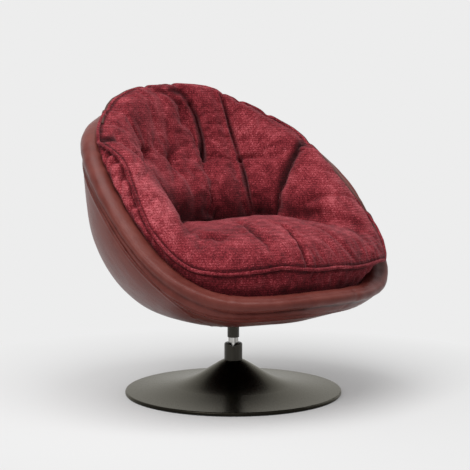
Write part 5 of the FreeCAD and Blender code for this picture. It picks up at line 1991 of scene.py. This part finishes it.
    def shaded_joints(self, points: np.ndarray, angle: np.ndarray, distance: np.ndarray,
                      outside: np.ndarray) -> np.ndarray:
        """Painted shade where pads meet each other or the bucket: at the joints, the seat's foot, the low
        back and beside the rim.

        Args:
            points: Places on a pad.
            angle: Their directions.
            distance: Their distances from the axis.
            outside: How far each lies outside the sewn edge, 0 to 1.

        Returns:
            Values from 0 to 1.
        """
        shape = self.shape
        degrees = np.degrees(angle)
        side = np.abs(degrees)
        along = np.radians(np.abs(shape.to_partition(degrees))) * distance
        above = points[:, 2] - shape.seat_top(points[:, 0], points[:, 1])
        joint = self.joint_shade.at(along) * smooth_step(-0.01, 0.01, above) * (1.0 - outside)
        foot = distance - shape.slant_reach(angle)
        valley = self.foot_shade.at(foot) * self.foot_rise.at(above) * smooth_step(58.0, 76.0, side)
        rear = smooth_step(shape.partition_right, shape.partition_right + 8.0, side)
        low = rear * self.rear_shade.at(np.maximum(above, 0.0)) * smooth_step(-0.01, 0.012, foot)
        near_rim = outside * self.rim_shade.at(points[:, 2] - shape.form.crest(angle))
        return np.maximum.reduce([joint, valley, low, near_rim])

    def build(self) -> None:
        """Builds both pads and what trims them, and sets them on the seat's body."""
        seat = self.build_seat_and_wings()
        back = self.build_back()
        for piece, nodes in ((seat, ("seat_cushion", "wing_cushion_left", "wing_cushion_right")),
                             (back, ("back_cushion",))):
            creases = SEAT_CREASES if piece is seat else BACK_CREASES
            self.remesh(piece)
            self.puff(piece, self.hold_weights(piece, creases), self.caps[piece is seat])
            finer = piece.modifiers.new("finer", "SUBSURF")
            finer.levels = 1
            finer.render_levels = 1
            apply_modifiers(piece)
            self.carve(piece, creases)
            Finish.PLUSH.dress(piece)
            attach(piece, "seat")
            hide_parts(*nodes)
            log.info("built %s with %d faces", piece.name, len(piece.data.polygons))
        self.build_piping()

    def build_piping(self) -> None:
        """Builds plush piping along the whole sewn edge, and the leather edge that shows behind it."""
        shape = self.shape
        angle = np.radians(np.linspace(-180.0, 180.0, 721)[:-1])
        distance, height, _ = shape.welt(angle)
        piping = tube_piece("edge_piping", in_space(angle, distance, height), self.piping_radius, True)
        Finish.PLUSH.dress(piping)
        start, end = self.backing_span
        degrees = np.linspace(start, end, 460)
        signed = (np.radians(degrees) + np.pi) % (2 * np.pi) - np.pi
        distance, height, _ = shape.welt(signed)
        shown = smooth_step(0.0, 12.0, np.minimum(degrees - start, end - degrees))
        edge = in_space(signed, distance - 0.0060 + 0.0110 * shown, height - 0.0035 + 0.0030 * shown)
        backing = tube_piece("cushion_edge_leather", edge, self.backing_radius, False)
        Finish.BACKING.dress(backing)
        for piece, slot in ((piping, "burgundy_plush"), (backing, "maroon_leather")):
            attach(piece, "seat")
            log.info("built %s with %d faces", piece.name, len(piece.data.polygons))


# The studio


@dataclass(frozen=True)
class Lamp:
    """A square soft lamp that looks at a target: its size in metres, its power in watts."""

    name: str
    place: Place
    target: Place
    size: float
    power: float

    def build(self) -> None:
        """Makes the lamp and hangs it in the scene."""
        data = bpy.data.lights.new(self.name, "AREA")
        data.shape = "SQUARE"
        data.size = self.size
        data.energy = self.power
        lamp = bpy.data.objects.new(self.name, data)
        lamp.location = self.place
        lamp.rotation_euler = (Vector(self.target) - Vector(self.place)).to_track_quat("-Z", "Y").to_euler()
        bpy.context.scene.collection.objects.link(lamp)


@dataclass
class Studio:
    """Plain pale floor, soft lamps and the camera at the photograph's angle."""

    camera_distance: float = 4.0
    camera_height: float = 0.874
    camera_azimuth: float = -38.0
    camera_pitch: float = 6.19
    focal_pixels: float = 1461.8
    frame_pixels: float = 470.0
    axis_offset_pixels: float = -1.7
    backdrop: float = 0.847
    world_strength: float = 0.42
    floor_tone: float = 0.663
    floor_radius: float = 14.0
    floor_glow: float = 0.25
    glow_span: Span = (0.48, 1.05)
    sensor: float = 36.0
    lamps: tuple[Lamp, ...] = (
        Lamp("overhead_softbox", (-0.5, -0.3, 3.2), (0.0, 0.0, 0.4), 2.4, 86.0),
        Lamp("side_softbox", (-3.0, -1.0, 2.0), (0.0, 0.0, 0.5), 1.8, 52.0))

    def build_camera(self) -> None:
        """The camera, set by the photograph's measured view."""
        data = bpy.data.cameras.new("photo_camera")
        data.sensor_width = self.sensor
        data.lens = self.sensor * self.focal_pixels / self.frame_pixels
        camera = bpy.data.objects.new("photo_camera", data)
        turn = math.radians(self.camera_azimuth)
        camera.location = (self.camera_distance * math.sin(turn), -self.camera_distance * math.cos(turn),
                           self.camera_height)
        aside = math.atan(self.axis_offset_pixels / self.focal_pixels)
        camera.rotation_euler = Euler((math.pi / 2 - math.radians(self.camera_pitch), 0.0, turn + aside))
        bpy.context.scene.collection.objects.link(camera)
        bpy.context.scene.camera = camera

    def build_world(self) -> None:
        """Even light all round, with the backdrop's own tone behind the object."""
        world = bpy.data.worlds.new("studio")
        bpy.context.scene.world = world
        world.use_nodes = True
        tree = world.node_tree
        tree.nodes.clear()
        output = tree.nodes.new("ShaderNodeOutputWorld")
        mix = tree.nodes.new("ShaderNodeMixShader")
        light = tree.nodes.new("ShaderNodeBackground")
        light.inputs["Color"].default_value = (1.0, 1.0, 1.0, 1.0)
        light.inputs["Strength"].default_value = self.world_strength
        seen = tree.nodes.new("ShaderNodeBackground")
        seen.inputs["Color"].default_value = (*[self.backdrop] * 3, 1.0)
        path = tree.nodes.new("ShaderNodeLightPath")
        seen_by = tree.nodes.new("ShaderNodeMath")
        seen_by.operation = "MAXIMUM"
        tree.links.new(path.outputs["Is Camera Ray"], seen_by.inputs[0])
        tree.links.new(path.outputs["Is Glossy Ray"], seen_by.inputs[1])
        tree.links.new(seen_by.outputs["Value"], mix.inputs["Fac"])
        tree.links.new(light.outputs["Background"], mix.inputs[1])
        tree.links.new(seen.outputs["Background"], mix.inputs[2])
        tree.links.new(mix.outputs["Shader"], output.inputs["Surface"])

    def build_floor(self) -> None:
        """A pale floor that keeps the object's shadow and runs into the backdrop's tone."""
        deselect_all()
        bpy.ops.mesh.primitive_circle_add(vertices=96, radius=self.floor_radius, fill_type="TRIFAN")
        floor = bpy.context.object
        floor.name = "studio_floor"
        board = ShaderBoard("studio_floor_finish")
        surface = board.surface
        board.fill(surface, {"Base Color": (*[self.floor_tone] * 3, 1.0), "Roughness": 1.0,
                             "Specular IOR Level": 0.0})
        glow = board.add("ShaderNodeEmission", {"Color": (*[self.backdrop] * 3, 1.0)})
        length = board.add("ShaderNodeVectorMath", operation="LENGTH")
        board.join(board.place, "Object", length, "Vector")
        far = board.spread(length, "Value", self.floor_glow, 1.0, *self.glow_span)
        far.clamp = True
        path = board.add("ShaderNodeLightPath")
        direct = board.math("MAXIMUM", path, "Is Camera Ray", path, "Is Glossy Ray")
        seen = board.math("MULTIPLY", far, "Result", direct, "Value")
        mix = board.add("ShaderNodeMixShader")
        board.join(seen, "Value", mix, "Fac")
        board.tree.links.new(surface.outputs["BSDF"], mix.inputs[1])
        board.tree.links.new(glow.outputs["Emission"], mix.inputs[2])
        board.join(mix, "Shader", board.output, "Surface")
        floor.data.materials.append(board.material)

    def build(self) -> None:
        """Sets up camera, floor, backdrop and lamps."""
        bpy.context.scene.view_settings.view_transform = "Standard"
        self.build_camera()
        self.build_world()
        self.build_floor()
        for lamp in self.lamps:
            lamp.build()
        log.info("studio ready")


def main() -> None:
    """Builds the object's parts in order, then the studio."""
    PedestalAndColumn().build()
    LeatherBucket().build()
    CushionSet().build()
    Finish.STRIP.dress(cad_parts["fastening_strips"])
    Studio().build()


if __name__ == "__main__":
    logging.basicConfig(level=logging.INFO, format="%(name)s: %(message)s")
    main()
